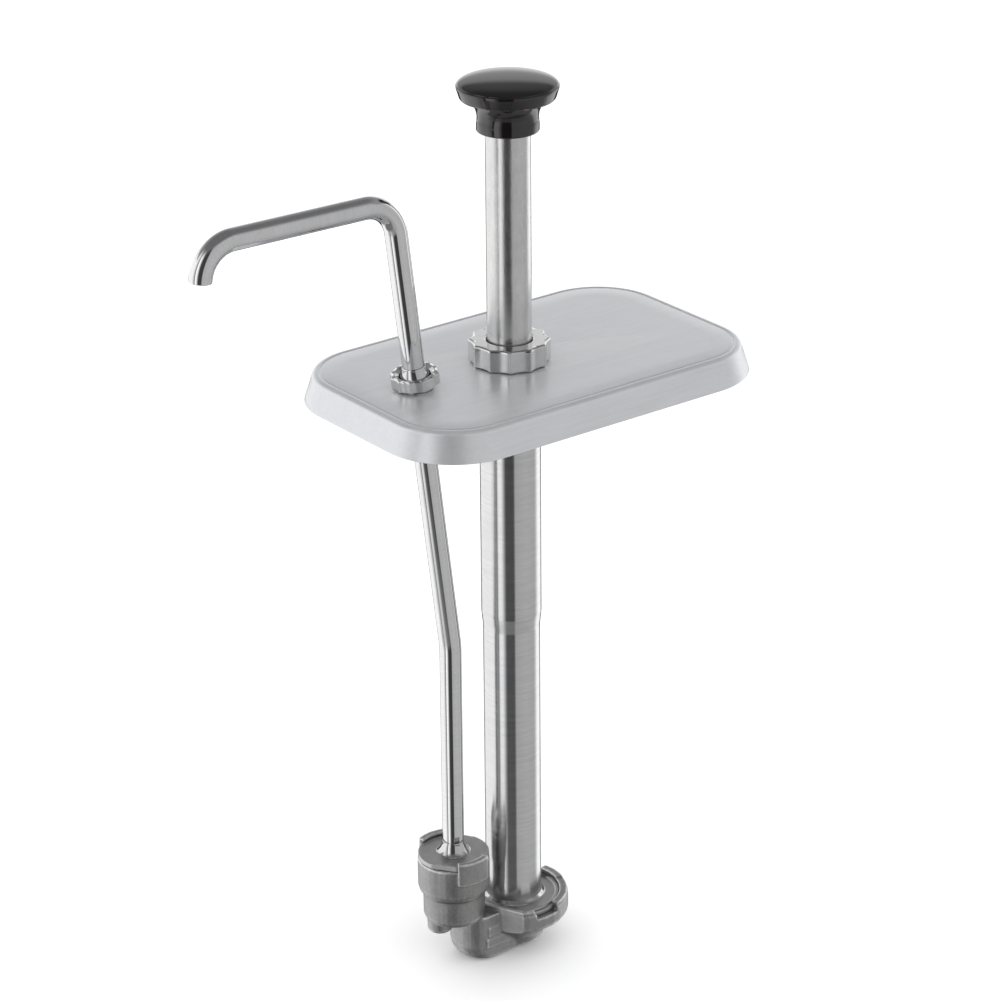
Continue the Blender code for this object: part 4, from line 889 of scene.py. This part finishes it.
def buildSpring():
    # wire(u, s) = coil(s) + r (cos u * out(s) + sin u * Z): the coil climbs evenly but for one
    # closed turn at each end
    k = spring
    low, high = dims("return_spring")
    radius = (high[1] - low[1]) / 2 / mm - k["wire"]
    foot, top = low[2] / mm + k["wire"], high[2] / mm - k["wire"]
    rings = k["turns"] * k["ringsPerTurn"] + 1
    turn = np.linspace(0, k["turns"], rings)
    ends = 2.08 * (np.minimum(turn, 1) + np.maximum(turn - k["turns"] + 1, 0))
    share = np.clip((turn - 1) / (k["turns"] - 2), 0, 1)
    rise = foot + ends + share * (top - foot - 4.16)
    out = np.stack([np.cos(turn * tau), np.sin(turn * tau)], 1)
    steps = k["steps"]
    u = np.arange(steps) / steps * tau
    reach = radius + k["wire"] * np.cos(u)[None, :]
    x = pump["axisX"] / mm + reach * out[:, :1]
    y = reach * out[:, 1:]
    z = rise[:, None] + k["wire"] * np.sin(u)[None, :]
    points = np.stack([x, y, z], -1).reshape(-1, 3) * mm
    faces = gridFaces(rings, steps, False)
    faces += [tuple(range(steps)), tuple(range(rings * steps - 1, (rings - 1) * steps - 1, -1))]
    piece = makeObject("springCoil", points, faces, "pump_body", ["return_spring"],
                       finishes["spring"])
    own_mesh(piece)
    return piece


buildSpring()


casting = {"voxel": 0.6, "smooth": 8}


def buildCasting():
    # a copy of the solid, rebuilt in even cells and relaxed a few times, which rounds every
    # corner by about one cell, as investment casting and blasting do
    source = frame["nodes"]["valve_body"]
    mesh = source.data.copy()
    solid = bmesh.new()
    solid.from_mesh(mesh)
    bmesh.ops.remove_doubles(solid, verts=solid.verts, dist=0.000005)
    solid.to_mesh(mesh)
    solid.free()
    mesh.materials.clear()
    mesh.materials.append(finishes["cast"])
    piece = bpy.data.objects.new("valveCasting", mesh)
    bpy.context.scene.collection.objects.link(piece)
    cells = piece.modifiers.new("cells", "REMESH")
    cells.mode = "VOXEL"
    cells.voxel_size = casting["voxel"] * mm
    cells.use_smooth_shade = True
    ease = piece.modifiers.new("ease", "SMOOTH")
    ease.iterations = casting["smooth"]
    ease.factor = 0.5
    bpy.context.view_layer.update()
    graph = bpy.context.evaluated_depsgraph_get()
    cast = bpy.data.meshes.new_from_object(piece.evaluated_get(graph))
    piece.modifiers.clear()
    piece.data = cast
    print("casting cells:", len(cast.polygons))
    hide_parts("valve_body")
    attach(piece, "pump_body")
    return piece


buildCasting()


# ringTones: (compass angle from the front in degrees, tone) that bright metal mirrors
camera = {"azimuth": math.radians(-37.4), "elevation": math.radians(23.7), "distance": 2.0,
          "side": -0.0166, "height": -0.0821, "roll": math.radians(0.5), "lens": 127.24076,
          "sensor": 36.0, "lift": 0.0012}
studio = {"floorZ": -0.3725, "floorSize": 8.0, "floorTone": 0.93, "ambient": 1.32,
          "ringTones": [(-180, 0.06), (-155, 0.06), (-148, 1.15), (-80, 1.2), (-69, 0.85),
                        (-59, 0.55), (-57, 0.06), (-53, 0.06), (-50, 1.25), (-36, 1.2),
                        (-28, 0.55), (-20, 0.06), (8, 0.05), (12, 0.06), (16, 0.5), (60, 0.56),
                        (102, 0.5), (112, 0.8), (120, 1.35), (146, 1.35), (155, 0.06),
                        (180, 0.06)]}


def buildCamera():
    # back is the line from the pump to the camera; side and height shift the place across it
    c = camera
    ca, sa = math.cos(c["azimuth"]), math.sin(c["azimuth"])
    ce, se = math.cos(c["elevation"]), math.sin(c["elevation"])
    back = Vector((sa * ce, -ca * ce, se))
    right = Vector((ca, sa, 0.0))
    up = back.cross(right)
    place = back * c["distance"] + right * c["side"] + up * c["height"] + Vector((0, 0, c["lift"]))
    cr, sr = math.cos(c["roll"]), math.sin(c["roll"])
    turnedRight = right * cr - up * sr
    turnedUp = right * sr + up * cr
    data = bpy.data.cameras.new("studioCamera")
    data.sensor_width = c["sensor"]
    data.lens = c["lens"]
    data.clip_end = 50.0
    made = bpy.data.objects.new("studioCamera", data)
    bpy.context.scene.collection.objects.link(made)
    basis = Matrix((turnedRight, turnedUp, back)).transposed().to_4x4()
    made.matrix_world = Matrix.Translation(place) @ basis
    bpy.context.scene.camera = made


def buildFloor():
    # a wide plain sheet, matt and near white
    h = studio["floorSize"]
    z = studio["floorZ"]
    mesh = bpy.data.meshes.new("floor")
    mesh.from_pydata([(-h, -h, z), (h, -h, z), (h, h, z), (-h, h, z)], [], [(0, 1, 2, 3)])
    floor = bpy.data.objects.new("floor", mesh)
    bpy.context.scene.collection.objects.link(floor)
    material = bpy.data.materials.new("paleFloor")
    material.use_nodes = True
    shader = material.node_tree.nodes["Principled BSDF"]
    shader.inputs["Base Color"].default_value = (studio["floorTone"],) * 3 + (1.0,)
    shader.inputs["Roughness"].default_value = 1.0
    shader.inputs["Specular IOR Level"].default_value = 0.0
    mesh.materials.append(material)
    floor.visible_glossy = False


def buildSky():
    # even light for matt surfaces; for mirror rays, a ring of tones by compass angle from the
    # front, a bright backdrop low behind, a mid tone low in front, and darker tones high
    # behind, overhead and underfoot
    world = bpy.data.worlds.new("studioSky")
    world.use_nodes = True
    bpy.context.scene.world = world
    tree = world.node_tree
    background = tree.nodes["Background"]
    direction = addNode(tree, "ShaderNodeTexCoord").outputs["Generated"]
    ca, sa = math.cos(camera["azimuth"]), math.sin(camera["azimuth"])

    def along(vector):
        node = addNode(tree, "ShaderNodeVectorMath", operation="DOT_PRODUCT")
        tree.links.new(direction, node.inputs[0])
        node.inputs[1].default_value = vector
        return node.outputs["Value"]

    front = along((sa, -ca, 0.0))
    right = along((ca, sa, 0.0))
    up = along((0.0, 0.0, 1.0))
    angle = mathNode(tree, "ARCTAN2", right, front)
    share = mapRange(tree, angle, -math.pi, math.pi, 0.0, 1.0)
    ramp = addNode(tree, "ShaderNodeValToRGB")
    tree.links.new(share, ramp.inputs["Fac"])
    elements = ramp.color_ramp.elements
    while len(elements) > 1:
        elements.remove(elements[-1])
    for k, (degrees, tone) in enumerate(studio["ringTones"]):
        spot = (degrees + 180.0) / 360.0
        item = elements[0] if k == 0 else elements.new(spot)
        item.position = spot
        item.color = (tone, tone, tone * 1.005, 1.0)
    backdrop = mathNode(tree, "MULTIPLY", mapRange(tree, front, -0.35, -0.8, 0.0, 1.0, True),
                        mapRange(tree, up, -0.30, -0.22, 0.0, 1.0, True))
    paper = mixColour(tree, mapRange(tree, up, 0.08, 0.24, 0.0, 1.0, True),
                      (1.3, 1.3, 1.3), (0.80, 0.80, 0.805))
    ring = mixColour(tree, backdrop, ramp.outputs["Color"], paper)
    highBack = mathNode(tree, "MULTIPLY", mapRange(tree, front, 0.25, -0.1, 0.0, 1.0, True),
                        mapRange(tree, up, 0.37, 0.50, 0.0, 1.0, True))
    ring = mixColour(tree, highBack, ring, (0.30, 0.30, 0.31))
    overhead = mapRange(tree, up, 0.6, 0.85, 0.0, 1.0, True)
    ring = mixColour(tree, overhead, ring, (0.17, 0.17, 0.175))
    lowFront = mathNode(tree, "MULTIPLY", mapRange(tree, up, -0.50, -0.64, 0.0, 0.75, True),
                        mapRange(tree, front, -0.1, 0.3, 0.0, 1.0, True))
    ring = mixColour(tree, lowFront, ring, (0.42, 0.42, 0.42))
    underfoot = mathNode(tree, "MULTIPLY", mapRange(tree, up, -0.72, -0.85, 0.0, 1.0, True),
                         mapRange(tree, front, -0.35, -0.05, 0.0, 1.0, True))
    ring = mixColour(tree, underfoot, ring, (0.2, 0.2, 0.2))
    mirror = addNode(tree, "ShaderNodeLightPath").outputs["Is Glossy Ray"]
    even = (studio["ambient"],) * 3
    light = mixColour(tree, mirror, even, ring)
    tree.links.new(light, background.inputs["Color"])


buildCamera()
buildFloor()
buildSky()
bpy.context.scene.view_settings.view_transform = "Standard"
print("studio ready")
